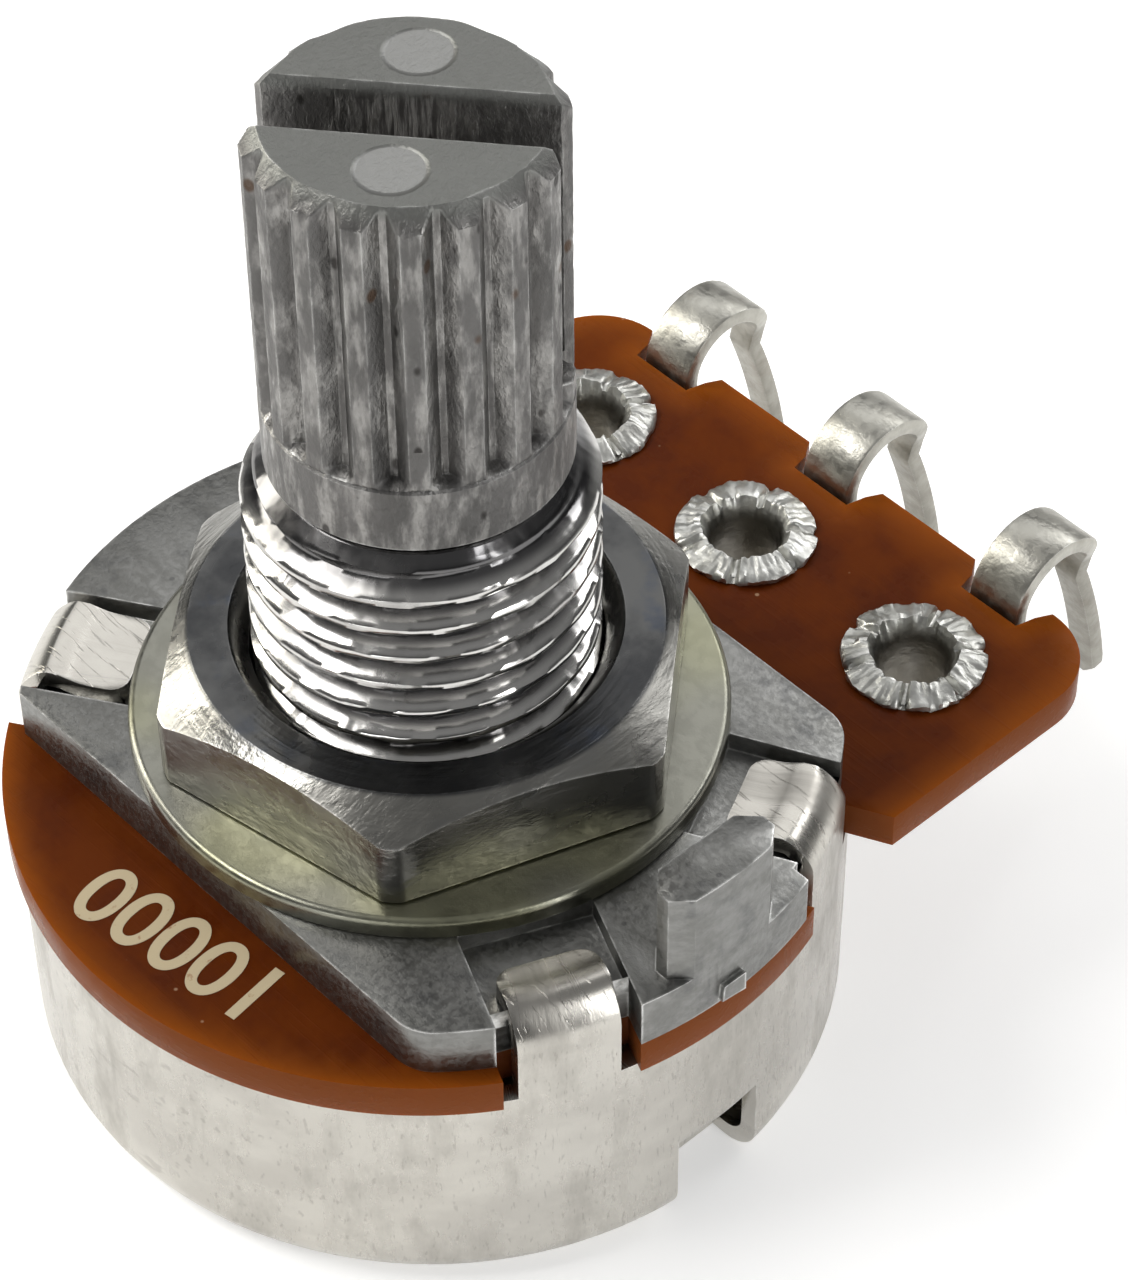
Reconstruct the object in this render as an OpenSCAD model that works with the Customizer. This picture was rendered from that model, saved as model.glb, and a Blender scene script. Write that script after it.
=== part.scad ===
// Rotary potentiometer with a split, knurled shaft, a threaded bushing and three arched terminals.
// Millimetres. The origin is on the mounting face, on the shaft's axis. +Z runs up the shaft,
// +Y points to the terminals, and the locating key is at +X.

/* [Shaft] */
// Diameter of the knob end
shaft_d = 6; // [5.6:0.1:6.4]
// Height of the tip above the mounting face
shaft_tip = 15.5; // [14.5:0.5:24]
// Length of the knurl, down from the tip
knurl_len = 6.5; // [5:0.25:7]
// Number of grooves in the knurl
knurl_teeth = 18; // [12:2:24]
// Depth of each knurl groove
knurl_depth = 0.3; // [0.2:0.05:0.4]
// Width of each knurl groove at the surface
groove_w = 0.66; // [0.4:0.02:0.7]
// Bevel round the tip
tip_bevel = 0.35; // [0.2:0.05:0.5]
// Width of the slot that splits the tip
slot_w = 1.25; // [0.8:0.05:1.6]
// Depth of the slot
slot_depth = 6; // [4:0.25:6.4]
// Diameter of the journal that turns in the bushing
journal_d = 4.8; // [4.2:0.1:5]
// Direction of the slot, counted from +X
slot_angle = 40; // [0:1:179]
// Diameter of the round marks on the tip
mark_d = 1.4; // [1:0.1:1.6]

/* [Bushing and plate] */
// Outer diameter of the thread
thread_d = 7; // [6.8:0.05:7.4]
// Pitch of the thread
thread_pitch = 0.75; // [0.6:0.05:1]
// Depth of the thread
thread_depth = 0.4; // [0.25:0.05:0.45]
// Height of the bushing above the mounting face
bushing_h = 7.3; // [5:0.1:7.6]
// Distance that the plate's round sides lie inside the cover's outer face
plate_inset = 0.2; // [0:0.05:0.3]
// Distance from the axis to the plate's straight sides
plate_half = 5.85; // [5.6:0.05:6.3]
// Thickness of the plate
plate_t = 1.2; // [1.1:0.05:1.6]
// Distance that the tongue with the locating key stands out past the cover
tongue_out = 0.2; // [0.1:0.05:0.6]
// Width of that tongue
tongue_w = 4.7; // [4.2:0.1:5]
// Width of the locating key
key_w = 2.8; // [2:0.1:3.2]
// Thickness of the locating key, along the radius
key_t = 1.1; // [0.8:0.05:1.4]
// Height of the locating key above the mounting face
key_h = 2.3; // [1:0.1:3]
// Chamfer on the corners of the locating key
key_corner = 0.4; // [0.1:0.05:0.5]

/* [Nut and washer] */
// Width of the nut across its flats
nut_af = 10; // [9.5:0.1:11]
// Thickness of the nut
nut_t = 2.2; // [1.6:0.1:2.6]
// Rotation of the nut
nut_turn = 11; // [0:1:59]
// Diameter of the mouth of the nut's hole
nut_mouth_d = 7.8; // [7.6:0.05:8.2]
// Outer diameter of the washer
washer_d = 12.2; // [11:0.1:12.6]
// Thickness of the washer
washer_t = 0.5; // [0.4:0.05:1]

/* [Board and terminals] */
// Distance that the board's round part stands out past the cover
board_out = 0.2; // [0.1:0.05:0.7]
// Thickness of the board
board_t = 0.85; // [0.8:0.05:1.6]
// Distance between terminals
pitch = 5; // [4.8:0.1:5.2]
// Distance from the cover's outer face to the row of eyelets
eyelet_out = 0.4; // [0.3:0.05:0.9]
// Distance from the row of eyelets to the board's far edge
board_edge = 3.1; // [2.8:0.1:4]
// Distance from the outer eyelets to the sides of the board's extension
board_side = 2.8; // [2.3:0.1:3.4]
// Radius of the extension's corners
board_corner = 1.65; // [0.5:0.05:1.8]
// Outer diameter of an eyelet's crimped end
eyelet_d = 3.1; // [2.8:0.05:3.3]
// Diameter of the hole through an eyelet
eyelet_hole = 1.5; // [1.1:0.05:1.6]
// Width of a terminal
lug_w = 1.35; // [1:0.05:1.5]
// Thickness of a terminal
lug_t = 0.4; // [0.3:0.05:0.5]
// Width of a terminal's tail
tail_w = 0.7; // [0.5:0.05:0.9]
// Outer radius of a terminal's arch
arch_r = 1.4; // [1.2:0.05:1.6]
// Distance from the board's far edge to the middle of the arches
arch_out = 0.7; // [0.6:0.05:1]
// Distance that a tail reaches below the mounting face
tail_drop = 5.6; // [4.5:0.1:7]
// Lean of a tail away from upright
tail_lean = 15; // [5:1:18]

/* [Cover] */
// Outer radius of the cover
can_r = 8.6; // [8.4:0.05:8.65]
// Thickness of the sheet
sheet_t = 0.4; // [0.3:0.05:0.45]
// Distance from the mounting face to the rear of the cover
can_rear = 7.8; // [7.4:0.1:9]
// Outer radius of the rear edge
rear_round = 0.9; // [0.5:0.1:1.2]
// Width of a tab
tab_w = 2.1; // [1.6:0.1:2.4]
// Radius of a tab's corners
tab_corner = 0.4; // [0.1:0.05:0.6]

/* [Rotor and track] */
// Angle that the shaft can turn
travel = 300; // [270:5:315]
// Room between the rotor's disc and the cover, where the stops meet
rotor_side = 1.6; // [1.3:0.05:1.8]
// Thickness of the rotor's disc
rotor_t = 1.2; // [0.8:0.1:1.4]
// Distance from the edge of the rotor's disc in to the middle of the resistive track
track_inset = 0.4; // [0.3:0.05:0.5]
// Width of the resistive track
track_w = 1.3; // [1:0.05:1.4]
// Radius of the middle of the collector ring
collector_r = 4.55; // [4.45:0.05:4.7]
// Width of the collector ring
collector_w = 0.8; // [0.6:0.05:0.9]
// Thickness of the wiper's sheet
wiper_t = 0.15; // [0.1:0.05:0.2]

/* [Hidden] */
$fn = 96;

// Clearances
running_gap = 0.05;   // between the journal and its bore, on the radius
thread_gap = 0.05;    // between the thread's crests and the nut, on the radius
seat_gap = 0.02;      // between a piece and the hole that it sits in, on the radius
wiper_gap = 0.02;     // between the wiper's dimples and the tracks
end_gap = 0.05;       // between the shaft's shoulders and the bushing
rotor_gap = 0.3;      // between the rotor and the cover
stop_gap = 0.5;       // between the rotor's stop and the cover's, in degrees

// Heights below the mounting face
board_top = -plate_t;
board_rear = board_top - board_t;
print_t = 0.04;
lug_top = board_rear - print_t;
can_floor = -can_rear + sheet_t;

// Plate and board around the cover
can_in = can_r - sheet_t;
plate_r = can_r - plate_inset;
tongue_r = can_r + tongue_out;
board_r = can_r + board_out;
eyelet_y = can_r + eyelet_out;
board_reach = eyelet_y + board_edge;
board_w = 2 * (pitch + board_side);
gate_w = 0.6;         // width of the gate's remnant on the tongue
gate_out = 0.12;
gate_top = -plate_t / 2;

// Tabs of the cover: the angle of each and how far it reaches in over the plate
TABS = [[-23.5, 1.65], [27, 2], [147, 2.3], [-147, 2.4]];
tab_bend = 0.25;      // inner radius of a tab's bend
tab_room = 0.35;      // play beside a tab in the board and the plate, on each side
recess_reach = 2.7;   // how far the recesses under the tabs reach in
recess_r = can_r - recess_reach;
recess_depth = sheet_t + 0.05;
tab_top = sheet_t - recess_depth;
mouth_r = recess_r - 1;

// Thread
relief_h = 0.35;
lead_in = 0.3;        // depth of the chamfer at the bushing's mouth
thread_root = thread_d / 2 - thread_depth;
crest_flat = thread_pitch / 5;
flank_h = (thread_pitch - 2 * crest_flat) / 2;
thread_turns = floor((bushing_h - relief_h - crest_flat) / thread_pitch);

// Nut
face_inset = 0.25;    // from the flats in to the rim of the nut's face
bevel_angle = 33;     // slope of the bevel on the nut's corners

// Shaft below the knob end
journal_r = journal_d / 2;
bore_r = journal_r + running_gap;
ring_t = 0.5;
ring_groove = 0.45;
ring_top = board_top - end_gap;
drive_r = journal_r - ring_groove;
drive_flat = drive_r * 0.8;
ring_out = journal_r + 0.9;
board_hole_r = ring_out + 0.4;
shoulder = bushing_h + end_gap;
shaft_end = can_floor + rotor_gap;

// Rotor
wiper_room = 0.9;     // height left for the wiper between the rotor and the board
rotor_r = can_in - rotor_side;
track_r = rotor_r - track_inset;
rotor_top = board_rear - wiper_room;
hub_r = 3.2;
hub_top = ring_top - ring_t - end_gap;
stop_in = rotor_r - 0.6;
stop_out = can_in - rotor_gap - 0.2;
stop_bottom = can_floor + rotor_gap + 0.2;
tongue_in = rotor_r + 0.3;
tongue_half = 0.9;
tongue_arc = 2 * asin(tongue_half / tongue_in);
stop_arc = 360 - travel - tongue_arc - 2 * stop_gap;
window_half = 1.1;
window_h = 2.5;       // height of the window above the rear of the cover
window_top = window_h - can_rear;
rim_cut_depth = 1.1;
// At rest the shaft is turned fully anticlockwise, so its stop lies just before the cover's tongue
stop_angle = -(360 - travel) / 2;
wiper_angle = stop_angle + 90;

// Prints on the board's rear face
track_past = 7;       // how far the track runs on past the travel at each end, in degrees
track_gap = 360 - travel - 2 * track_past;
end_arc = 8;
lead_w = 0.8;

// Eyelets and terminals
shank_r = eyelet_hole / 2 + 0.25;
rear_flange_r = 1.4;
rear_flange_t = 0.25;
crimp_h = 0.36;
crimp_round = 0.25;   // breadth of the crimp's rounded rim
slits = 6;
slit_w = 0.13;
arch_y = board_reach + arch_out;
arch_z = -arch_r;
rise_y = arch_y - arch_r;
notch_room = 0.12;    // between a terminal and its notch
notch_flare = 0.35;   // how much a notch widens to its mouth, on each side
notch_y = rise_y - notch_room;
taper_top = arch_z + 0.7;
taper_end = arch_z - 0.3;

function terminal_x(i) = (2 - i) * pitch;

module ring_sector(r1, r2, arc) {
    intersection() {
        difference() {
            circle(r2);
            circle(r1);
        }
        polygon(concat([[0, 0]], [for (k = [0:4]) let (a = (k / 4 - 0.5) * arc) 2 * r2 * [cos(a), sin(a)]]));
    }
}

// Plan of a tab, with rounded corners at its inner end
module tab_plan(from) {
    w = tab_w / 2;
    c = tab_corner;
    translate([from + c, -w]) square([2 * can_r, 2 * w]);
    translate([from, c - w]) square([2 * c, 2 * (w - c)]);
    for (s = [-1, 1]) translate([from + c, s * (w - c)]) circle(c);
}

// Room for a tab, from a distance outwards
module tab_channel(from) {
    w = tab_w + 2 * tab_room;
    translate([from, -w / 2]) square([2 * can_r, w]);
}

// Bushing and mounting plate, one casting

module plate_outline() {
    difference() {
        union() {
            intersection() {
                circle(plate_r);
                square([3 * plate_r, 2 * plate_half], center = true);
            }
            intersection() {
                circle(tongue_r);
                translate([plate_half, -tongue_w / 2]) square([plate_half, tongue_w]);
            }
        }
        for (t = TABS) rotate(t[0]) tab_channel(can_in - tab_bend);
    }
}

module thread_profile() {
    ridge = [[0, 0], [1, flank_h], [1, flank_h + crest_flat], [0, 2 * flank_h + crest_flat]];
    polygon(concat(
        [[0, -plate_t / 2], [thread_root, -plate_t / 2]],
        [for (k = [0:thread_turns - 1], p = ridge)
            [thread_root + p[0] * thread_depth, relief_h + k * thread_pitch + p[1]]],
        [[thread_root - lead_in, bushing_h], [0, bushing_h]]));
}

module key_plan() {
    w = key_w / 2;
    c = key_corner;
    out = tongue_r;
    in = out - key_t;
    intersection() {
        circle(tongue_r);
        polygon([[in, c - w], [in + c, -w], [out - c, -w], [out, c - w],
                 [out, w - c], [out - c, w], [in + c, w], [in, w - c]]);
    }
}

module bushing_plate() {
    color("lightslategray") difference() {
        union() {
            translate([0, 0, -plate_t]) linear_extrude(plate_t) plate_outline();
            linear_extrude(key_h) key_plan();
            translate([tongue_r - key_t, -gate_w / 2, -plate_t])
                cube([key_t + gate_out, gate_w, plate_t + gate_top]);
            rotate_extrude() thread_profile();
        }
        translate([0, 0, -plate_t - 1]) cylinder(r = bore_r, h = bushing_h + plate_t + 2);
        for (t = TABS)
            rotate(t[0]) translate([0, 0, -recess_depth]) linear_extrude(recess_depth + 1)
                tab_channel(recess_r);
    }
}

// Washer and nut

module flat_washer() {
    edge = washer_t / 6;
    r = washer_d / 2;
    hole = thread_d / 2 + 3 * thread_gap;
    color("silver") rotate_extrude()
        polygon([[hole, 0], [r, 0], [r, washer_t - edge], [r - edge, washer_t], [hole, washer_t]]);
}

module mounting_nut() {
    corner = nut_af / sqrt(3);
    face_r = nut_af / 2 - face_inset;
    bevel = (corner - face_r) * tan(bevel_angle);
    hole = thread_d / 2 + thread_gap;
    mouth = nut_mouth_d / 2 - hole;
    color("gainsboro") translate([0, 0, washer_t]) difference() {
        intersection() {
            rotate(nut_turn) cylinder(r = corner, h = nut_t, $fn = 6);
            rotate_extrude() polygon([[0, -1], [corner + 1, -1], [corner + 1, nut_t - bevel],
                                      [corner, nut_t - bevel], [face_r, nut_t], [0, nut_t]]);
        }
        rotate_extrude() polygon([[0, -1], [hole, -1], [hole, nut_t - mouth], [hole + mouth, nut_t],
                                  [hole + mouth, nut_t + 1], [0, nut_t + 1]]);
    }
}

// Turning parts

// Each groove is groove_w wide where its flanks cross the surface
module knurl_grooves() {
    d = knurl_depth;
    foot = groove_w / 8;
    mouth = groove_w - foot;
    for (k = [0:knurl_teeth - 1])
        rotate((k + 0.5) * 360 / knurl_teeth) translate([shaft_d / 2, 0, shaft_tip - knurl_len])
            linear_extrude(knurl_len + 1) polygon([[-d, -foot], [d, -mouth], [d, mouth], [-d, foot]]);
}

module shaft_profile() {
    r = shaft_d / 2;
    line = 0.06;          // a turned line marks the foot of the knurl
    foot = shaft_tip - knurl_len - line / 2;
    polygon([[0, shaft_end], [drive_r, shaft_end], [drive_r, hub_top], [journal_r, hub_top],
             [journal_r, ring_top - ring_t], [drive_r, ring_top - ring_t], [drive_r, ring_top],
             [journal_r, ring_top], [journal_r, shoulder], [r - tip_bevel / 2, shoulder],
             [r, shoulder + tip_bevel / 2], [r, foot - line], [r - line, foot], [r, foot + line],
             [r, shaft_tip - tip_bevel], [r - tip_bevel, shaft_tip], [0, shaft_tip]]);
}

module shaft() {
    mark_r = shaft_d / 4 + slot_w / 8;
    mark_depth = 0.06;
    color("dimgray") rotate(slot_angle) difference() {
        rotate_extrude() shaft_profile();
        knurl_grooves();
        translate([-shaft_d, -slot_w / 2, shaft_tip - slot_depth])
            cube([2 * shaft_d, slot_w, slot_depth + 1]);
        for (s = [-1, 1]) {
            translate([0, s * mark_r, shaft_tip - mark_depth]) cylinder(d = mark_d, h = 1);
            translate([-shaft_d, s > 0 ? drive_flat : -drive_flat - shaft_d, shaft_end - 1])
                cube([2 * shaft_d, shaft_d, hub_top - shaft_end + 1]);
        }
    }
}

// An open ring, wide at its back and held by its two arms
module retaining_ring() {
    ring_arc = 300;
    mouth_at = journal_r + 0.5;
    color("darkgray") rotate(slot_angle) translate([0, 0, ring_top - ring_t + seat_gap])
        linear_extrude(ring_t - seat_gap) difference() {
            ring_sector(drive_r + seat_gap, ring_out, ring_arc);
            translate([-mouth_at, 0]) circle(drive_r * 0.9);
        }
}

module rotor() {
    color("ivory") difference() {
        union() {
            translate([0, 0, rotor_top - rotor_t]) cylinder(r = rotor_r, h = rotor_t);
            translate([0, 0, shaft_end]) cylinder(r = hub_r, h = hub_top - shaft_end);
            translate([0, 0, stop_bottom]) rotate(stop_angle)
                linear_extrude(rotor_top - stop_bottom) ring_sector(stop_in, stop_out, stop_arc);
        }
        rotate(slot_angle) translate([0, 0, shaft_end - 1]) linear_extrude(hub_top - shaft_end + 2)
            intersection() {
                circle(drive_r + seat_gap);
                square([3 * drive_r, 2 * (drive_flat + seat_gap)], center = true);
            }
    }
}

// The wiper is one leaf: a ring seen from above, and from the side a flat foot with a ramp bent
// up from it. The ramp's end carries one dimple for each track.
module wiper() {
    fold = 3.9;
    dimple_h = 0.16;
    dimple_d = 0.5;
    edge_room = 0.1;
    leaf_out = rotor_r - 0.2;
    leaf_in = hub_r + 0.3;
    dimple_top = wiper_room - print_t - wiper_gap;
    slope = (dimple_top - dimple_h - wiper_t) / (fold + collector_r);
    ramp = (leaf_out + fold) * slope;
    color("darkgoldenrod") rotate(wiper_angle) translate([0, 0, rotor_top]) {
        intersection() {
            linear_extrude(wiper_room) difference() {
                circle(leaf_out);
                circle(leaf_in);
            }
            rotate([90, 0, 0]) linear_extrude(3 * leaf_out, center = true)
                polygon([[-2 * leaf_out, 0], [-fold, 0], [leaf_out, ramp], [2 * leaf_out, ramp],
                         [2 * leaf_out, ramp + wiper_t], [leaf_out, ramp + wiper_t],
                         [-fold, wiper_t], [-2 * leaf_out, wiper_t]]);
        }
        for (r = [collector_r, track_r - edge_room]) {
            foot = (r + fold - dimple_d / 2) * slope + wiper_t / 2;
            translate([r, 0, foot]) cylinder(d1 = dimple_d, d2 = dimple_d / 2, h = dimple_top - foot);
        }
    }
}

// Board and what is printed on its rear face

module board_outline() {
    x = board_w / 2;
    c = board_corner;
    difference() {
        union() {
            circle(board_r);
            translate([-x, 0]) square([board_w, board_reach - c]);
            translate([-x + c, 0]) square([board_w - 2 * c, board_reach]);
            for (s = [-1, 1]) translate([s * (x - c), board_reach - c]) circle(c);
        }
        for (t = TABS) rotate(t[0]) tab_channel(can_in - tab_bend);
        for (i = [1:3]) translate([terminal_x(i), 0]) {
            notch_plan();
            translate([0, eyelet_y]) circle(shank_r + seat_gap);
        }
        circle(board_hole_r);
    }
}

// A notch widens steadily to its mouth at the board's edge, and the cut runs on past it
module notch_plan() {
    w = lug_w / 2 + notch_room;
    depth = board_reach - notch_y;
    polygon([[-w, notch_y], [w, notch_y], [w + 2 * notch_flare, notch_y + 2 * depth],
             [-w - 2 * notch_flare, notch_y + 2 * depth]]);
}

module terminal_board() {
    color("saddlebrown") translate([0, 0, board_rear]) linear_extrude(board_t) board_outline();
}

module print_layer() {
    translate([0, 0, board_rear - print_t]) linear_extrude(print_t) children();
}

module track_shape() {
    rotate(-90) ring_sector(track_r - track_w / 2, track_r + track_w / 2, 360 - track_gap);
}

module carbon_track() {
    color("black") print_layer() track_shape();
}

module collector_ring() {
    color("silver") print_layer() difference() {
        union() {
            difference() {
                circle(collector_r + collector_w / 2);
                circle(collector_r - collector_w / 2);
            }
            translate([-collector_w / 2, collector_r]) square([collector_w, eyelet_y - collector_r]);
            translate([0, eyelet_y]) circle(rear_flange_r);
        }
        translate([0, eyelet_y]) circle(shank_r + seat_gap);
    }
}

module track_end(i) {
    eye = [terminal_x(i), eyelet_y];
    end_angle = 90 + (i - 2) * (track_gap - end_arc) / 2;
    from = track_r * [cos(end_angle), sin(end_angle)];
    way = eye - from;
    color("silver") print_layer() difference() {
        union() {
            translate(eye) circle(rear_flange_r);
            rotate(end_angle) ring_sector(track_r - track_w / 2, track_r + track_w / 2, end_arc);
            translate(from) rotate(atan2(way[1], way[0])) translate([0, -lead_w / 2])
                square([norm(way), lead_w]);
        }
        track_shape();
        translate(eye) circle(shank_r + seat_gap);
    }
}

module track_end_1() { track_end(1); }
module track_end_3() { track_end(3); }

// Eyelets and terminals

module eyelet(i) {
    r = eyelet_hole / 2;
    rear = lug_top - lug_t;
    out = eyelet_d / 2;
    lip = 0.09;           // flare of the crimp's inner edge
    slit_foot = 0.05;     // what a slit leaves standing on the board
    color("whitesmoke") translate([terminal_x(i), eyelet_y, 0]) difference() {
        rotate_extrude() polygon([
            [r, rear - rear_flange_t], [rear_flange_r, rear - rear_flange_t], [rear_flange_r, rear],
            [shank_r, rear], [shank_r, board_top], [out, board_top], [out, board_top + crimp_h / 3],
            [out - crimp_round, board_top + crimp_h * 0.9], [shank_r + lip, board_top + crimp_h],
            [r + lip, board_top + crimp_h / 2], [r, board_top]]);
        for (k = [0:slits - 1])
            rotate((k + 0.3) * 360 / slits) translate([shank_r, -slit_w / 2, board_top + slit_foot])
                cube([out, slit_w, crimp_h]);
    }
}

module eyelet_1() { eyelet(1); }
module eyelet_2() { eyelet(2); }
module eyelet_3() { eyelet(3); }

// Side view of a terminal: the rise out of the notch and the arch
module arch_side() {
    intersection() {
        translate([arch_y, arch_z]) difference() {
            circle(arch_r);
            circle(arch_r - lug_t);
        }
        union() {
            translate([rise_y - 1, arch_z]) square([2 * arch_r + 2, arch_r + 1]);
            translate([arch_y, arch_z]) rotate(-tail_lean) square([2 * arch_r, arch_r]);
        }
    }
    translate([rise_y, lug_top - lug_t]) square([lug_t, arch_z - lug_top + lug_t]);
}

module tail_side() {
    len = (tail_drop + arch_z + arch_r * sin(tail_lean)) / cos(tail_lean);
    translate([arch_y, arch_z]) rotate(tail_lean) translate([arch_r - lug_t, -len]) square([lug_t, len]);
}

// Front view of a terminal's tail, which narrows from the arch to a rounded end
module tail_front() {
    w = lug_w / 2;
    n = tail_w / 2;
    polygon([[-w, taper_top], [w, taper_top], [n, taper_end],
             [n, -tail_drop + n], [-n, -tail_drop + n], [-n, taper_end]]);
    translate([0, -tail_drop + n]) circle(n);
}

// What is cut away beside a terminal's arch where it narrows to the tail, on the side s
module taper_cut(s) {
    polygon([[s * lug_w, taper_top], [s * lug_w / 2, taper_top], [s * tail_w / 2, taper_end],
             [s * tail_w / 2, -tail_drop], [s * lug_w, -tail_drop]]);
}

module side_extrude(w) {
    rotate([90, 0, 90]) translate([0, 0, -w / 2]) linear_extrude(w) children();
}

module terminal(i) {
    color("whitesmoke") translate([terminal_x(i), 0, 0]) {
        translate([0, 0, lug_top - lug_t]) linear_extrude(lug_t) difference() {
            union() {
                translate([0, eyelet_y]) circle(eyelet_d / 2);
                translate([-lug_w / 2, eyelet_y]) square([lug_w, rise_y + lug_t - eyelet_y]);
            }
            translate([0, eyelet_y]) circle(shank_r + seat_gap);
        }
        difference() {
            side_extrude(lug_w) arch_side();
            for (s = [-1, 1]) translate([0, arch_y, 0]) rotate([90, 0, 180])
                linear_extrude(3 * arch_r) taper_cut(s);
        }
        intersection() {
            side_extrude(lug_w) tail_side();
            translate([0, arch_y + 3 * arch_r, 0]) rotate([90, 0, 0])
                linear_extrude(3 * arch_r) tail_front();
        }
    }
}

module terminal_1() { terminal(1); }
module terminal_2() { terminal(2); }
module terminal_3() { terminal(3); }

// Cover, a drawn can with four tabs

// Outline of the can out to radius r and back to the rear face, rounded at the rear by c, and
// rounded at the front by f where the tabs bend over
module can_outline(r, rear, front, c, f) {
    translate([0, rear]) square([r - c, front - rear]);
    translate([0, rear + c]) square([r, front - f - rear - c]);
    translate([r - c, rear + c]) circle(c);
    translate([0, front - f]) square([r - f, f]);
    translate([r - f, front - f]) circle(f);
}

// Section through the sheet as it stands where a tab is
module can_profile() {
    intersection() {
        difference() {
            can_outline(can_r, -can_rear, tab_top, rear_round, tab_bend + sheet_t);
            can_outline(can_in, can_floor, tab_top - sheet_t, rear_round - sheet_t, tab_bend);
            // the mouth, well inside the end of the longest tab
            translate([0, can_floor + rear_round]) square([mouth_r, can_rear]);
        }
        translate([0, -2 * can_rear]) square([2 * can_r, 3 * can_rear]);
    }
}

module rear_cover() {
    color("lightgray") difference() {
        union() {
            rotate_extrude() can_profile();
            translate([tongue_in, -tongue_half, can_floor - sheet_t / 2])
                cube([sheet_t, 2 * tongue_half, window_top - can_floor]);
        }
        // what is cut away between the tabs
        translate([0, 0, board_rear]) linear_extrude(can_rear) difference() {
            circle(2 * can_r);
            for (t = TABS) rotate(t[0]) tab_plan(can_r - t[1]);
        }
        // window below the locating key, behind the stop tongue
        translate([tongue_in + sheet_t, -window_half, -can_rear - 1])
            cube([can_r, 2 * window_half, window_top + can_rear + 1]);
        // room in the rim for the middle terminal and for the leads of the prints
        translate([-pitch, 0, board_rear - rim_cut_depth]) cube([2 * pitch, 2 * can_r, 2 * rim_cut_depth]);
    }
}

bushing_plate();
flat_washer();
mounting_nut();
shaft();
retaining_ring();
terminal_board();
carbon_track();
collector_ring();
track_end_1();
track_end_3();
eyelet_1();
eyelet_2();
eyelet_3();
terminal_1();
terminal_2();
terminal_3();
rotor();
wiper();
rear_cover();
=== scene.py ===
"""Rotary potentiometer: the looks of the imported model, with the photograph's camera and a soft studio.

Lengths are written in millimetres and turned to metres where a mesh is made.
"""
import bmesh
import bpy
import math
import random
from mathutils import Matrix, Vector, noise


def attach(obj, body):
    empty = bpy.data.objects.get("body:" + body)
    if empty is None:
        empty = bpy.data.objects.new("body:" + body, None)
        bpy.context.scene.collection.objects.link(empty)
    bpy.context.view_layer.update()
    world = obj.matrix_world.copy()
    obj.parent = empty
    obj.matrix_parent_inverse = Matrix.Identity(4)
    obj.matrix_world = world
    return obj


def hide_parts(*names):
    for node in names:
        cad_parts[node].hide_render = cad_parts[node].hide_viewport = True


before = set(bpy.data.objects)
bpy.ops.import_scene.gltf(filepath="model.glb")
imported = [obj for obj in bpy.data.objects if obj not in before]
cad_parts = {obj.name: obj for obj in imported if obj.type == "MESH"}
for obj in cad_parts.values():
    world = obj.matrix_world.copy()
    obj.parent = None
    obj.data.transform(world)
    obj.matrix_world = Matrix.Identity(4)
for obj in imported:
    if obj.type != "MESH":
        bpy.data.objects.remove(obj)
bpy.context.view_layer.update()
MM = 0.001
TAU = 2 * math.pi

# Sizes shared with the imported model
SHAFT_R, SHAFT_TIP, KNURL_FOOT, SHOULDER, TIP_CHAMFER = 3.0, 15.5, 9.0, 7.35, 0.36
GROOVES, GROOVE_DEPTH, GROOVE_W = 18, 0.3, 0.66
SLOT_W, SLOT_DEPTH, SLOT_ANGLE = 1.25, 6.0, math.radians(40)
MARK_OUT, MARK_R = 1.66, 0.66
JOURNAL_R, BORE_R = 2.4, 2.45
DRIVE_R, DRIVE_HALF, DRIVE_END, RING_LOW, RING_HIGH = 1.95, 1.56, -7.1, -1.8, -1.2
THREAD_R, THREAD_ROOT, THREAD_PITCH, THREAD_FOOT, BUSHING_H = 3.5, 3.1, 0.75, 0.35, 7.3
PLATE_R, PLATE_HALF, PLATE_T = 8.4, 5.85, 1.2
TONGUE_R, TONGUE_W = 8.8, 4.7
KEY_W, KEY_T, KEY_H, KEY_CORNER = 2.8, 1.1, 2.3, 0.4
RECESS_R, RECESS_DEPTH = 5.9, 0.45
NUT_AF, NUT_T, NUT_TURN, NUT_MOUTH_R, NUT_BORE_R = 10.0, 2.2, math.radians(11), 3.9, 3.56
WASHER_R, WASHER_T, WASHER_HOLE = 6.1, 0.5, 3.65
BOARD_R, BOARD_TOP, BOARD_T = 8.79, -1.2, 0.85
BOARD_REACH, BOARD_HALF, BOARD_CORNER, BOARD_HOLE = 12.1, 7.8, 1.65, 3.7
PITCH, EYELET_Y, EYELET_R, EYELET_HOLE, BARREL_R, CRIMP_H = 5.0, 9.0, 1.55, 0.75, 1.0, 0.36
LUG_W, LUG_T, TAIL_W, ARCH_R, ARCH_Y, TAIL_DROP, TAIL_LEAN = 1.35, 0.4, 0.7, 1.4, 12.8, 5.6, math.radians(15)
CAN_R, SHEET, CAN_REAR, REAR_ROUND, TAB_BEND = 8.6, 0.4, 7.8, 0.9, 0.25
TABS = [(-23.5, 6.95), (27, 6.6), (147, 6.3), (-147, 6.2)]  # direction in degrees, radius of the tab's end
TAB_W, TAB_ROOM = 2.1, 0.35
WINDOW_HALF, WINDOW_TOP, STOP_R, STOP_HALF = 1.1, -5.3, 6.9, 0.9
BOARD_REAR = BOARD_TOP - BOARD_T
LUG_TOP = BOARD_REAR - 0.04


# Mesh helpers

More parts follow.
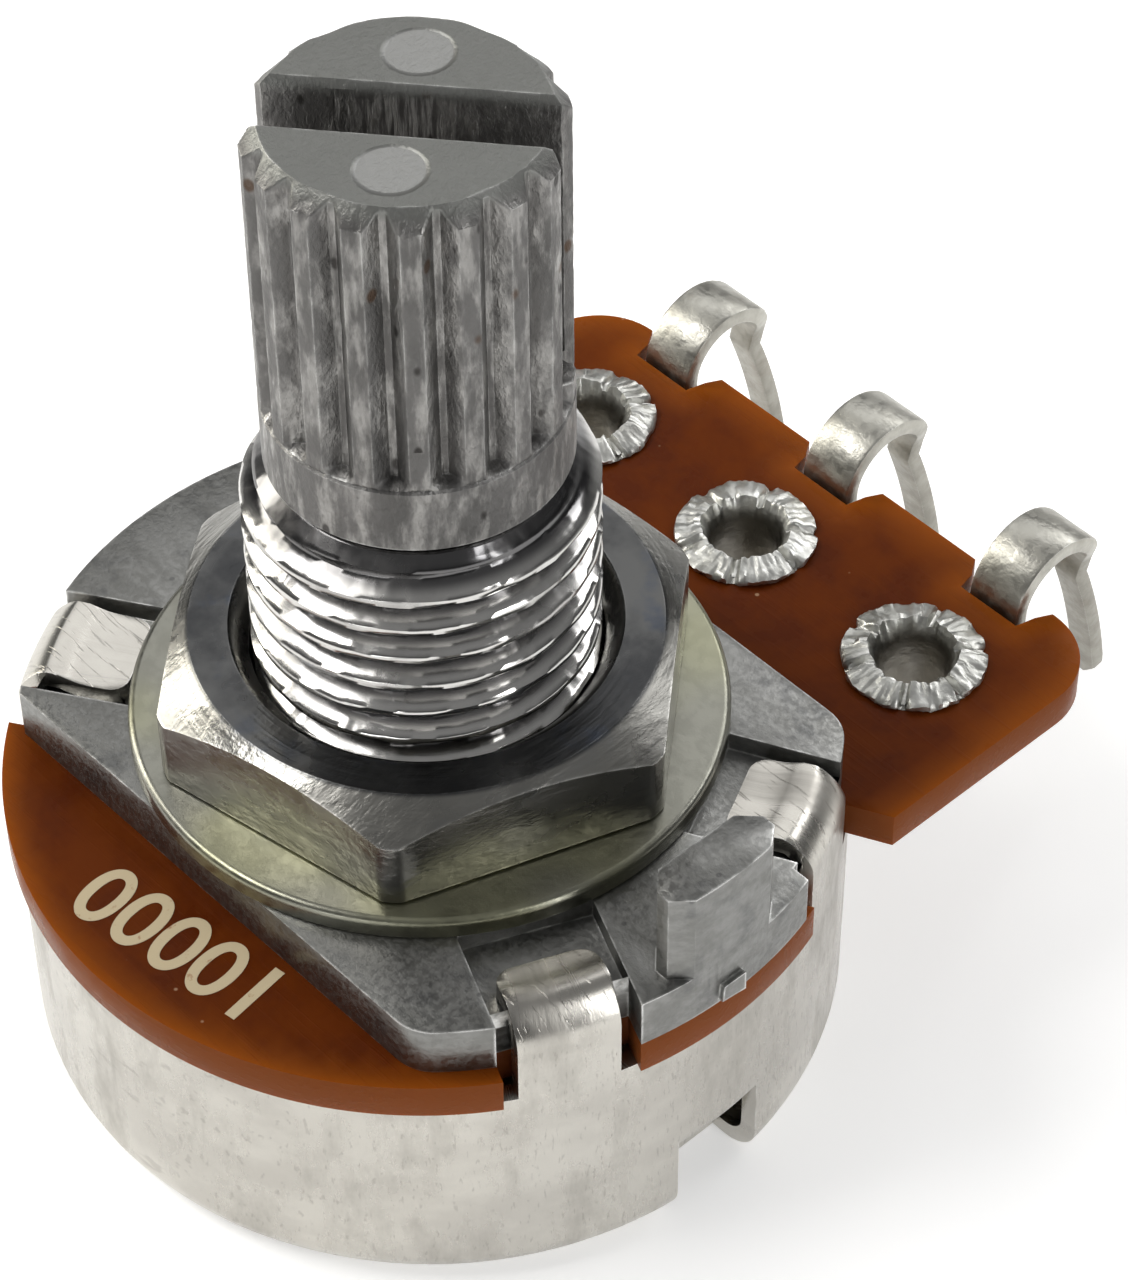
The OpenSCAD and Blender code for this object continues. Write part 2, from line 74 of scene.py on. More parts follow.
def add_object(name, mesh, body, slot, look, *nodes):
    """Put a finished mesh in the scene as a piece on a body, with its material, in place of the nodes."""
    obj = bpy.data.objects.new(name, mesh)
    bpy.context.scene.collection.objects.link(obj)
    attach(obj, body)
    if nodes:
        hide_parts(*nodes)
    obj.data.materials.append(look)
    return obj


def mesh_from(name, points, faces, smooth_deg=35):
    """A mesh from points in millimetres, with outward normals, smooth up to an angle."""
    mesh = bpy.data.meshes.new(name)
    mesh.from_pydata([Vector(p) * MM for p in points], [], faces)
    bm = bmesh.new()
    bm.from_mesh(mesh)
    bmesh.ops.remove_doubles(bm, verts=bm.verts, dist=0.0005 * MM)
    bmesh.ops.dissolve_degenerate(bm, edges=bm.edges, dist=0.0002 * MM)
    bmesh.ops.recalc_face_normals(bm, faces=bm.faces)
    bm.to_mesh(mesh)
    bm.free()
    shade(mesh, smooth_deg)
    return mesh


def shade(mesh, smooth_deg):
    """Smooth shading, with sharp edges where the faces meet at more than an angle."""
    mesh.polygons.foreach_set("use_smooth", [True] * len(mesh.polygons))
    mesh.set_sharp_from_angle(angle=math.radians(smooth_deg))


def lathe(profile, steps):
    """Points and faces of a closed profile of (radius, height) turned about Z."""
    n = len(profile)
    points = [(r * math.cos(TAU * i / steps), r * math.sin(TAU * i / steps), z)
              for i in range(steps) for r, z in profile]
    faces = []
    for i in range(steps):
        a, b = i * n, (i + 1) % steps * n
        faces += [(a + k, b + k, b + (k + 1) % n, a + (k + 1) % n) for k in range(n)]
    return points, faces


def from_rings(rings, closed):
    """Points and faces of rings of (radius, height) round Z, the last joined to the first if closed."""
    steps, count = len(rings[0]), len(rings)
    points = [(r * math.cos(TAU * k / steps), r * math.sin(TAU * k / steps), z)
              for ring in rings for k, (r, z) in enumerate(ring)]
    faces = [(j * steps + k, j * steps + (k + 1) % steps,
              (j + 1) % count * steps + (k + 1) % steps, (j + 1) % count * steps + k)
             for j in range(count if closed else count - 1) for k in range(steps)]
    return points, faces


def slab(outline, low, high):
    """Points and faces of an outline of (x, y) between two heights."""
    n = len(outline)
    points = [(x, y, low) for x, y in outline] + [(x, y, high) for x, y in outline]
    faces = [tuple(range(n))[::-1], tuple(range(n, 2 * n))]
    faces += [(k, (k + 1) % n, n + (k + 1) % n, n + k) for k in range(n)]
    return points, faces


def arc(cx, cy, r, start, end, steps):
    """Points on an arc, its angles in degrees."""
    turn = [math.radians(start + (end - start) * k / steps) for k in range(steps + 1)]
    return [(cx + r * math.cos(t), cy + r * math.sin(t)) for t in turn]


def turned(points, degrees):
    """The points turned about Z."""
    c, s = math.cos(math.radians(degrees)), math.sin(math.radians(degrees))
    return [(c * p[0] - s * p[1], s * p[0] + c * p[1], *p[2:]) for p in points]


def temp_object(name, points, faces):
    """A mesh object that only cuts or adds, and is deleted afterwards."""
    obj = bpy.data.objects.new(name, mesh_from(name, points, faces))
    bpy.context.scene.collection.objects.link(obj)
    return obj


def take_mesh(obj, smooth_deg=35):
    """The object's mesh, smooth up to an angle, with the object itself deleted."""
    mesh = obj.data
    shade(mesh, smooth_deg)
    bpy.data.objects.remove(obj, do_unlink=True)
    return mesh


def combine(obj, other, operation):
    """Cut another object from obj or add it, and delete the other one."""
    change = obj.modifiers.new("combine", "BOOLEAN")
    change.operation = operation
    change.solver = "EXACT"
    change.object = other
    apply_modifiers(obj)
    bpy.data.objects.remove(other, do_unlink=True)


def apply_modifiers(obj):
    """Replace the object's mesh by what its modifiers make of it."""
    bpy.context.view_layer.update()
    done = bpy.data.meshes.new_from_object(obj.evaluated_get(bpy.context.evaluated_depsgraph_get()))
    obj.modifiers.clear()
    obj.data = done


def round_edges(obj, width, angle=32):
    """Bevel the edges that are sharper than an angle by a width in millimetres."""
    bevel = obj.modifiers.new("round", "BEVEL")
    bevel.width = width * MM
    bevel.segments = 2
    bevel.limit_method = "ANGLE"
    bevel.angle_limit = math.radians(angle)
    bevel.use_clamp_overlap = True
    apply_modifiers(obj)
    shade(obj.data, 35)


def box_points(x0, x1, y0, y1, z0, z1):
    """Points and faces of a box."""
    return slab([(x0, y0), (x1, y0), (x1, y1), (x0, y1)], z0, z1)


def wander(p, scale, depth, seed=0.0):
    """A smooth pseudo-random value at a point in millimetres."""
    return depth * noise.noise(Vector((p[0] * scale + seed, p[1] * scale, p[2] * scale)))


# Materials

class Look:
    """A material's node tree, built up step by step in object coordinates."""

    def __init__(self, name, color, roughness, metallic=0.0, specular=0.5):
        self.material = bpy.data.materials.new(name)
        self.material.use_nodes = True
        self.tree = self.material.node_tree
        self.shader = self.tree.nodes["Principled BSDF"]
        self.shader.inputs["Metallic"].default_value = metallic
        self.shader.inputs["Specular IOR Level"].default_value = specular
        self.shader.inputs["Roughness"].default_value = roughness
        self.color = color
        self.roughness = None
        self.height = None
        self.place = self.add("ShaderNodeTexCoord").outputs["Object"]

    def add(self, kind, **settings):
        node = self.tree.nodes.new(kind)
        for key, value in settings.items():
            setattr(node, key, value)
        return node

    def link(self, source, target):
        if isinstance(source, (int, float)):
            target.default_value = source
        elif isinstance(source, tuple):
            target.default_value = (*source, 1) if len(source) == 3 else source
        else:
            self.tree.links.new(source, target)

    def math(self, operation, a, b=0.0):
        node = self.add("ShaderNodeMath", operation=operation)
        self.link(a, node.inputs[0])
        self.link(b, node.inputs[1])
        return node.outputs[0]

    def mapped(self, per_mm=(1, 1, 1), rotation=(0, 0, 0)):
        """Object coordinates in cycles per millimetre."""
        node = self.add("ShaderNodeMapping")
        node.inputs["Scale"].default_value = [1000 * s for s in per_mm]
        node.inputs["Rotation"].default_value = rotation
        self.link(self.place, node.inputs["Vector"])
        return node.outputs[0]

    def around(self, per_turn, per_mm_z, per_mm_r=0.0):
        """Coordinates that run round the axis, along it and out from it."""
        parts = self.add("ShaderNodeSeparateXYZ")
        self.link(self.place, parts.inputs[0])
        x, y, z = parts.outputs
        angle = self.math("ARCTAN2", y, x)
        radius = self.math("SQRT", self.math("ADD", self.math("MULTIPLY", x, x), self.math("MULTIPLY", y, y)))
        join = self.add("ShaderNodeCombineXYZ")
        # cosine and sine of the angle keep the pattern closed round the axis
        ring = per_turn / TAU
        self.link(self.math("MULTIPLY", self.math("COSINE", angle), ring), join.inputs[0])
        self.link(self.math("MULTIPLY", self.math("SINE", angle), ring), join.inputs[1])
        along = self.math("ADD", self.math("MULTIPLY", z, 1000 * per_mm_z),
                          self.math("MULTIPLY", radius, 1000 * per_mm_r))
        self.link(along, join.inputs[2])
        return join.outputs[0]

    def noise(self, vector, detail=4.0, rough=0.6, low=0.35, high=0.65):
        """Noise stretched so that low to high fills 0 to 1."""
        node = self.add("ShaderNodeTexNoise")
        node.inputs["Scale"].default_value = 1.0
        node.inputs["Detail"].default_value = detail
        node.inputs["Roughness"].default_value = rough
        self.link(vector, node.inputs["Vector"])
        return self.ramp(node.outputs["Fac"], low, high)

    def ramp(self, value, low, high, to_low=0.0, to_high=1.0):
        node = self.add("ShaderNodeMapRange")
        node.interpolation_type = "SMOOTHSTEP"
        self.link(value, node.inputs["Value"])
        node.inputs["From Min"].default_value = low
        node.inputs["From Max"].default_value = high
        node.inputs["To Min"].default_value = to_low
        node.inputs["To Max"].default_value = to_high
        return node.outputs[0]

    def specks(self, vector, size, share_seed=0.0):
        """Small dots: 1 in a dot and 0 between the dots."""
        node = self.add("ShaderNodeTexVoronoi")
        node.inputs["Scale"].default_value = 1.0
        self.link(vector, node.inputs["Vector"])
        pick = self.add("ShaderNodeTexWhiteNoise", noise_dimensions="4D")
        self.link(node.outputs["Position"], pick.inputs["Vector"])
        pick.inputs["W"].default_value = share_seed
        chosen = self.math("GREATER_THAN", pick.outputs["Value"], 0.72)
        return self.math("MULTIPLY", self.ramp(node.outputs["Distance"], size, size * 0.5), chosen)

    def worn_edge_highlight(self, reach, low=0.02, high=0.2):
        """1 on worn parts of outer edges, rubbed bright and carrying a painted highlight, found by a bevelled
        normal's difference, 0 on open faces.
        """
        bevel = self.add("ShaderNodeBevel", samples=6)
        bevel.inputs["Radius"].default_value = reach * MM
        plain = self.add("ShaderNodeNewGeometry")
        dot = self.add("ShaderNodeVectorMath", operation="DOT_PRODUCT")
        self.link(bevel.outputs[0], dot.inputs[0])
        self.link(plain.outputs["Normal"], dot.inputs[1])
        edge = self.ramp(dot.outputs["Value"], 1 - low, 1 - high)
        outer = self.ramp(plain.outputs["Pointiness"], 0.5, 0.56, 0.4, 1.0)
        broken = self.noise(self.mapped((1.3, 1.3, 1.3)), detail=5, low=0.38, high=0.6)
        return self.math("MULTIPLY", self.math("MULTIPLY", edge, outer), broken)

    def along_axis(self, low, high):
        """0 to 1 between two heights in millimetres."""
        parts = self.add("ShaderNodeSeparateXYZ")
        self.link(self.place, parts.inputs[0])
        return self.ramp(parts.outputs[2], low * MM, high * MM)

    def from_axis(self, low, high):
        """0 to 1 between two distances from the axis in millimetres."""
        flat = self.add("ShaderNodeVectorMath", operation="MULTIPLY")
        self.link(self.place, flat.inputs[0])
        flat.inputs[1].default_value = (1, 1, 0)
        length = self.add("ShaderNodeVectorMath", operation="LENGTH")
        self.link(flat.outputs[0], length.inputs[0])
        return self.ramp(length.outputs["Value"], low * MM, high * MM)

    def discs(self, turn, out, radius):
        """1 inside two discs that lie opposite each other, out from the axis, in millimetres."""
        parts = self.add("ShaderNodeSeparateXYZ")
        self.link(self.mapped(rotation=(0, 0, -turn)), parts.inputs[0])
        across = self.math("SUBTRACT", self.math("ABSOLUTE", parts.outputs[1]), out)
        square = self.math("ADD", self.math("MULTIPLY", across, across),
                           self.math("MULTIPLY", parts.outputs[0], parts.outputs[0]))
        return self.ramp(self.math("SQRT", square), radius + 0.06, radius - 0.06)

    def tint(self, mask, color, strength=1.0):
        """Blend the colour towards another one where the mask is 1."""
        node = self.add("ShaderNodeMix", data_type="RGBA")
        self.link(self.math("MULTIPLY", mask, strength), node.inputs["Factor"])
        self.link(self.color, node.inputs["A"])
        self.link(color, node.inputs["B"])
        self.color = node.outputs["Result"]

    def rough(self, mask, low, high):
        """Roughness from low where the mask is 0 to high where it is 1."""
        self.roughness = self.ramp(mask, 0, 1, low, high)

    def bump(self, value, height):
        """Add a bump of a height in millimetres."""
        part = self.math("MULTIPLY", value, height * MM)
        self.height = part if self.height is None else self.math("ADD", self.height, part)

    def done(self):
        """Join colour, roughness and bump to the shader and return the material."""
        self.link(self.color, self.shader.inputs["Base Color"])
        if self.roughness is not None:
            self.link(self.roughness, self.shader.inputs["Roughness"])
        if self.height is not None:
            node = self.add("ShaderNodeBump")
            node.inputs["Distance"].default_value = 1.0
            self.link(self.height, node.inputs["Height"])
            self.link(node.outputs[0], self.shader.inputs["Normal"])
        return self.material


def shaft_look():
    """Dull grey metal with draw streaks, scuffs and dark specks, painted shade in the knurl's grooves and the
    slot, and bright edges that are worn and carry a painted highlight.
    """
    look = Look("shaft_metal", (0.16, 0.156, 0.152), 0.4, metallic=1.0)
    wall = look.along_axis(SHAFT_TIP - 0.05, SHAFT_TIP - 0.35)
    streaks = look.math("MULTIPLY", look.noise(look.around(60, 0.9), detail=6, low=0.42, high=0.66), wall)
    blotches = look.noise(look.mapped((1.1, 1.1, 0.5)), detail=5, rough=0.7, low=0.35, high=0.7)
    grain = look.noise(look.mapped((9, 9, 5)), detail=3)
    # painted shade: darker near the axis on the wall, in the knurl's grooves and inside the slot
    look.tint(look.math("SUBTRACT", 1.0, look.from_axis(2.72, 2.95)), (0.12, 0.115, 0.11),
              look.math("MULTIPLY", wall, 0.6))
    look.tint(blotches, (0.09, 0.088, 0.085), 0.6)
    look.tint(streaks, (0.5, 0.49, 0.47), 0.45)
    look.tint(look.math("SUBTRACT", 1.0, wall), (0.25, 0.255, 0.24), 0.75)
    marks = look.math("MULTIPLY", look.discs(SLOT_ANGLE, MARK_OUT, MARK_R), look.math("SUBTRACT", 1.0, wall))
    look.tint(marks, (0.42, 0.42, 0.41), 0.7)
    look.bump(marks, -0.05)
    for per_mm, size, seed, color in (((2.2, 2.2, 1.3), 0.24, 0.0, (0.03, 0.027, 0.025)),
                                      ((1.3, 1.3, 1.0), 0.2, 3.0, (0.08, 0.045, 0.025))):
        look.tint(look.math("MULTIPLY", look.specks(look.mapped(per_mm), size, seed), wall), color, 0.8)
    # bright outer edges: wear and a painted highlight
    look.tint(look.worn_edge_highlight(0.12), (0.9, 0.9, 0.88), 0.85)
    look.rough(look.math("MULTIPLY", streaks, grain), 0.5, 0.28)
    look.bump(streaks, 0.012)
    look.bump(grain, 0.006)
    return look.done()


def casting_look():
    """Satin grey die casting with mottling, flow marks and bright edges that are worn and carry a painted
    highlight.
    """
    look = Look("zinc_casting", (0.2, 0.2, 0.19), 0.42, metallic=0.95)
    flow = look.noise(look.mapped((0.5, 1.2, 2.0), (0, 0, 0.6)), detail=6, rough=0.65)
    grain = look.noise(look.mapped((7, 7, 7)), detail=4)
    look.tint(flow, (0.31, 0.31, 0.3), 0.6)
    look.tint(look.noise(look.mapped((1.0, 1.0, 1.0)), low=0.52, high=0.7), (0.09, 0.092, 0.095), 0.5)
    look.tint(look.specks(look.mapped((1.6, 1.6, 1.6)), 0.12), (0.1, 0.1, 0.1), 0.6)
    # bright outer edges: wear and a painted highlight
    look.tint(look.worn_edge_highlight(0.11), (0.95, 0.95, 0.93), 0.9)
    look.rough(grain, 0.3, 0.46)
    look.bump(grain, 0.002)
    look.bump(flow, 0.004)
    return look.done()


def thread_look():
    """Rolled thread, nearly mirror on its crests, with a painted highlight on the crests and painted shade in
    its roots.
    """
    look = Look("thread_painted_crest_light", (0.14, 0.138, 0.14), 0.2, metallic=1.0)
    dirt = look.noise(look.around(9, 0.5), detail=5, rough=0.6, low=0.42, high=0.68)
    ripple = look.noise(look.around(12, 0.5), detail=3)
    # painted highlight on the crests over painted shade in the roots: lighter further from the axis
    look.tint(look.from_axis(THREAD_ROOT + 0.08, THREAD_R - 0.06), (0.66, 0.65, 0.63), 1.0)
    look.tint(dirt, (0.2, 0.195, 0.19), 0.5)
    look.rough(dirt, 0.14, 0.3)
    look.bump(ripple, 0.02)
    return look.done()


def nut_look():
    """Nickel plate, cloudy on the turned face with bluish patches and fine rings, its chamfer and flanks
    painted lighter as painted light, and bright edges that are worn and carry a painted highlight.
    """
    look = Look("nickel_plate", (0.05, 0.051, 0.053), 0.34, metallic=1.0)
    cloud = look.noise(look.mapped((0.35, 0.35, 0.6)), detail=5, low=0.38, high=0.64)
    streak = look.noise(look.mapped((2.6, 0.6, 3.0), (0, 0, 0.5)), detail=5)
    # the chamfer and flanks below the turned face, which get painted light
    painted_light_sides = look.along_axis(WASHER_T + NUT_T, WASHER_T + NUT_T - 0.06)
    look.tint(cloud, (0.12, 0.12, 0.117), 0.7)
    look.tint(look.noise(look.mapped((0.7, 0.7, 0.7)), low=0.52, high=0.7), (0.05, 0.061, 0.085), 0.6)
    look.tint(look.specks(look.mapped((1.4, 1.4, 1.4)), 0.1), (0.12, 0.12, 0.13), 0.7)
    # painted light: the chamfer and flanks lighter and creamier than the turned face
    look.tint(painted_light_sides, (0.43, 0.42, 0.385), 0.5)
    # bright outer edges: wear and a painted highlight
    look.tint(look.worn_edge_highlight(0.12), (0.95, 0.94, 0.9), 0.9)
    look.rough(cloud, 0.32, 0.2)
    look.bump(streak, 0.006)
    look.bump(look.noise(look.around(6, 0.4, 5.0), detail=2), 0.003)
    return look.done()


def washer_look():
    """Zinc plate with a greenish yellow cast in places."""
    look = Look("zinc_plate", (0.25, 0.248, 0.215), 0.3, metallic=1.0)
    cast = look.noise(look.mapped((0.16, 0.16, 0.16)), detail=2, low=0.44, high=0.6)
    fine = look.noise(look.mapped((3, 3, 3)), detail=4)
    look.tint(cast, (0.34, 0.338, 0.21), 0.6)
    look.tint(look.noise(look.mapped((0.8, 0.8, 0.8)), detail=5, low=0.5, high=0.8), (0.2, 0.205, 0.19), 0.35)
    # bright outer edges: wear and a painted highlight
    look.tint(look.worn_edge_highlight(0.08), (0.92, 0.92, 0.86), 0.8)
    look.rough(fine, 0.28, 0.36)
    look.bump(fine, 0.002)
    return look.done()


def board_look():
    """Red-brown laminate with a little subsurface light, fine fibres and scratches, and painted glow: lighter
    near its outline and on its upright faces.
    """
    look = Look("phenolic", (0.085, 0.015, 0.002), 0.4, specular=0.04)
    look.shader.inputs["Subsurface Weight"].default_value = 0.1
    look.shader.inputs["Subsurface Radius"].default_value = (1.0, 0.3, 0.1)
    look.shader.inputs["Subsurface Scale"].default_value = 0.5 * MM
    # painted glow: lighter near the board's outline, standing in for light let through its edges
    edge = look.add("ShaderNodeAttribute", attribute_name="painted_edge_glow").outputs["Fac"]
    cloud = look.noise(look.mapped((0.5, 0.5, 0.5)), detail=4)
    look.tint(cloud, (0.15, 0.032, 0.003), 0.6)
    look.tint(edge, (0.3, 0.075, 0.006), 0.8)
    fibres = look.noise(look.mapped((0.35, 9, 9), (0, 0, 0.35)), detail=3, low=0.5, high=0.72)
    look.tint(fibres, (0.16, 0.035, 0.01), 0.15)
    look.tint(look.specks(look.mapped((1.2, 1.2, 1.2)), 0.07), (0.6, 0.4, 0.25), 0.5)
    # painted light: the upright faces lighter and more orange than the top and rear
    side = look.add("ShaderNodeSeparateXYZ")
    look.link(look.add("ShaderNodeNewGeometry").outputs["Normal"], side.inputs[0])
    upright_painted_light = look.ramp(look.math("ABSOLUTE", side.outputs[2]), 0.75, 0.3)
    look.tint(upright_painted_light, (0.17, 0.05, 0.015), 0.75)
    look.rough(cloud, 0.26, 0.42)
    look.bump(fibres, 0.004)
    return look.done()


def tin_look(name, base, light, dirt, foot):
    """Matt tin with soft streaks, bright edges that are rubbed and carry a painted highlight, and a painted
    brown reflection of the board that darkens the foot by a strength.
    """
    look = Look(name, base, 0.32, metallic=1.0)
    streak = look.noise(look.mapped((0.6, 1.6, 1.6)), detail=4, rough=0.6)
    fine = look.noise(look.mapped((4, 4, 4)), detail=3)
    look.tint(streak, light, 0.6)
    look.tint(look.noise(look.mapped((0.9, 0.9, 0.9)), low=0.5, high=0.75), dirt, 0.5)
    # bright outer edges: wear and a painted highlight
    look.tint(look.worn_edge_highlight(0.06), (0.95, 0.95, 0.93), 0.7)
    # painted reflection: darker brown near and below the board's top, where the board is mirrored
    look.tint(look.along_axis(BOARD_TOP + 0.25, BOARD_TOP - 0.25), (0.1, 0.085, 0.06), foot)
    look.rough(fine, 0.34, 0.46)
    look.bump(fine, 0.004)
    look.bump(streak, 0.006)
    return look.done()


def cover_look():
    """Warm plated sheet with draw marks down its wall and fine scratches."""
    look = Look("plated_sheet", (0.5, 0.48, 0.44), 0.36, metallic=1.0)
    wall = look.along_axis(-CAN_REAR + 0.05, -CAN_REAR + 0.7)
    draw = look.noise(look.around(34, 0.22), detail=7, rough=0.72, low=0.44, high=0.7)
    draw = look.math("MULTIPLY", draw, wall)
    cloud = look.noise(look.mapped((0.3, 0.3, 0.5)), detail=4, low=0.4, high=0.62)
    scratch = look.noise(look.mapped((0.6, 14, 3.0), (0.3, 0.9, 0.7)), detail=2, low=0.6, high=0.7)
    look.tint(cloud, (0.62, 0.6, 0.55), 0.6)
    look.tint(draw, (0.28, 0.265, 0.24), 0.4)
    look.tint(scratch, (0.24, 0.22, 0.2), 0.3)
    look.tint(look.specks(look.mapped((0.8, 0.8, 0.4)), 0.05), (0.2, 0.17, 0.13), 0.35)
    # bright outer edges: wear and a painted highlight
    look.tint(look.worn_edge_highlight(0.08), (0.95, 0.94, 0.92), 0.75)
    look.rough(draw, 0.26, 0.42)
    look.bump(draw, 0.004)
    look.bump(scratch, -0.004)
    return look.done()


def plain_look(name, color, roughness, metallic, mottle):
    """A simpler finish for the pieces inside the cover."""
    look = Look(name, color, roughness, metallic=metallic)
    cloud = look.noise(look.mapped((1.5, 1.5, 1.5)), detail=5)
    look.tint(cloud, mottle, 0.6)
    look.rough(look.noise(look.mapped((6, 6, 6))), roughness * 0.8, min(1.0, roughness * 1.25))
    look.bump(cloud, 0.004)
    return look.done()


# Shaft

def surface_radius(angle, z):
    """The knob end's radius at an angle from the slot and a height."""
    step = TAU / GROOVES
    off = abs((angle / step) % 1 - 0.5) * step * SHAFT_R
    depth = GROOVE_DEPTH * min(1.0, max(0.0, (GROOVE_W / 2 - off) / (GROOVE_W * 0.375)))
    depth *= min(1.0, max(0.0, (z - KNURL_FOOT) / 0.12))
    p = (SHAFT_R * math.cos(angle), SHAFT_R * math.sin(angle), z)
    r = SHAFT_R - depth
    top = SHAFT_TIP - TIP_CHAMFER + wander((p[0], p[1], 0), 1.3, 0.07)
    if z > top:
        r = min(r, SHAFT_R - (z - top) * 0.95)
    if z > KNURL_FOOT:
        r -= max(0.0, wander(p, 1.9, 0.08, 4.0) - 0.03) + max(0.0, wander(p, 4.5, 0.02, 9.0))
    return min(r, SHAFT_R - max(0.0, 0.05 - abs(z - KNURL_FOOT + 0.03)))


def knob_end():
    """The knurled end as a fine grid, closed below at the journal."""
    steps = GROOVES * 28
    heights = [SHOULDER, SHOULDER + 0.16, 8.0, 8.5, KNURL_FOOT - 0.08, KNURL_FOOT - 0.03, KNURL_FOOT]
    heights += [KNURL_FOOT + 0.12 * k / 3 for k in range(1, 4)]
    heights += [KNURL_FOOT + 0.2 + 0.16 * k for k in range(37)]
    heights += [SHAFT_TIP - TIP_CHAMFER + TIP_CHAMFER / 8 * k for k in range(9)]
    rings = []
    for z in sorted(set(round(h, 4) for h in heights)):
        cut = 0.16 if z <= SHOULDER else 0.0
        rings.append([(surface_radius(TAU * k / steps, z) - cut, z) for k in range(steps)])
    rings.insert(0, [(JOURNAL_R, SHOULDER)] * steps)
    rings.insert(0, [(JOURNAL_R, -1.25)] * steps)
    points, faces = from_rings(rings, closed=False)
    top = (len(rings) - 1) * steps
    inner = [(0.93 * points[top + k][0], 0.93 * points[top + k][1], SHAFT_TIP) for k in range(steps)]
    points += inner
    faces += [(top + k, top + (k + 1) % steps, top + steps + (k + 1) % steps, top + steps + k)
              for k in range(steps)]
    faces += [tuple(range(top + steps, top + 2 * steps)), tuple(range(steps))[::-1]]
    return points, faces


def make_shaft():
    """The split shaft: knob end, journal, groove for the ring and the drive flats."""
    shaft = temp_object("shaft_body", *knob_end())
    # the drive end, up to the top of the groove for the retaining ring
    low = [(0, DRIVE_END), (DRIVE_R - 0.4, DRIVE_END), (DRIVE_R, DRIVE_END + 0.3), (DRIVE_R, RING_LOW),
           (JOURNAL_R, RING_LOW), (JOURNAL_R, RING_LOW + 0.05), (DRIVE_R, RING_LOW + 0.05),
           (DRIVE_R, RING_HIGH), (0, RING_HIGH)]
    combine(shaft, temp_object("lower", *lathe(low, 96)), "UNION")
    half = SLOT_W / 2
    flare = 0.12
    slot = [(-half, SHAFT_TIP - SLOT_DEPTH), (half, SHAFT_TIP - SLOT_DEPTH), (half, SHAFT_TIP - 0.14),
            (half + flare, SHAFT_TIP + 0.02), (half + flare, SHAFT_TIP + 1), (-half - flare, SHAFT_TIP + 1),
            (-half - flare, SHAFT_TIP + 0.02), (-half, SHAFT_TIP - 0.14)]
    stations = [-4 + 8 * k / 40 for k in range(41)]
    points = [(x, y + (wander((x, y, z), 2.3, 0.035) if z < SHAFT_TIP else 0), z)
              for x in stations for y, z in slot]
    n = len(slot)
    faces = [(j * n + k, j * n + (k + 1) % n, (j + 1) * n + (k + 1) % n, (j + 1) * n + k)
             for j in range(len(stations) - 1) for k in range(n)]
    faces += [tuple(range(n))[::-1], tuple(range(len(points) - n, len(points)))]
    combine(shaft, temp_object("slot", points, faces), "DIFFERENCE")
    for near, far in ((DRIVE_HALF, 4), (-4, -DRIVE_HALF)):
        combine(shaft, temp_object("flat", *box_points(-4, 4, near, far, -8, -1.9)), "DIFFERENCE")
    shaft.data.transform(Matrix.Rotation(SLOT_ANGLE, 4, "Z"))
    add_object("shaft_turned", take_mesh(shaft, 38), "spindle", "shaft_metal", shaft_look(), "shaft")


# Bushing, plate and thread

def plate_points():
    """Outline of the plate, with its tongue."""
    side = math.degrees(math.asin(PLATE_HALF / PLATE_R))
    inner = math.degrees(math.asin(TONGUE_W / 2 / PLATE_R))
    outer = math.degrees(math.asin(TONGUE_W / 2 / TONGUE_R))
    # the corners beside the tongue are rounded
    soft = 1.0
    cx, cy = math.sqrt((PLATE_R - soft) ** 2 - (PLATE_HALF - soft) ** 2), PLATE_HALF - soft
    meet = math.degrees(math.atan2(cy, cx))
    return (arc(0, 0, TONGUE_R, -outer, outer, 24) + arc(0, 0, PLATE_R, inner, meet, 24)
            + arc(cx, cy, soft, meet, 90, 8)[1:] + arc(0, 0, PLATE_R, 180 - side, 180 + side, 72)
            + arc(cx, -cy, soft, 270, 360 - meet, 8)[:-1] + arc(0, 0, PLATE_R, -meet, -inner, 24))


def key_points():
    """Outline of the locating key, its front on the tongue's arc and its corners chamfered."""
    w, c = KEY_W / 2, KEY_CORNER
    front = math.degrees(math.asin((w - c) / TONGUE_R))
    near = TONGUE_R - KEY_T
    return [(near + c, -w), (TONGUE_R - c, -w)] + arc(0, 0, TONGUE_R, -front, front, 10) \
        + [(TONGUE_R - c, w), (near + c, w), (near, w - c), (near, c - w)]


def make_plate():
    """The casting's plate with its tab channels, tongue, key and gate remnant."""
    plate = temp_object("plate", *slab(plate_points(), -PLATE_T, 0))
    combine(plate, temp_object("key", *slab(key_points(), -PLATE_T, KEY_H)), "UNION")
    for angle, _ in TABS:
        w = TAB_W / 2 + TAB_ROOM
        through = box_points(CAN_R - SHEET - TAB_BEND, 12, -w, w, -3, 3)
        recess = box_points(RECESS_R, 12, -w, w, -RECESS_DEPTH, 3)
        for points, faces in (through, recess):
            combine(plate, temp_object("channel", turned(points, angle), faces), "DIFFERENCE")
    bore = lathe([(0, -3), (BORE_R, -3), (BORE_R, 3), (0, 3)], 128)
    combine(plate, temp_object("bore", *bore), "DIFFERENCE")
    round_edges(plate, 0.09)
    # the ragged remnant of the casting's gate
    gate = box_points(TONGUE_R - 0.4, TONGUE_R + 0.11, -0.35, 0.2, -PLATE_T + 0.02, -0.62)
    nub = temp_object("gate", *gate)
    for vert in nub.data.vertices:
        p = vert.co / MM
        vert.co += Vector((wander(p, 2.0, 0.04), wander(p, 2.0, 0.12, 5), wander(p, 2.0, 0.14, 8))) * MM
        vert.co.z = max(vert.co.z, -PLATE_T * MM)
    combine(plate, nub, "UNION")
    add_object("plate_casting", take_mesh(plate), "base", "zinc_casting", casting_look(), "bushing_plate")


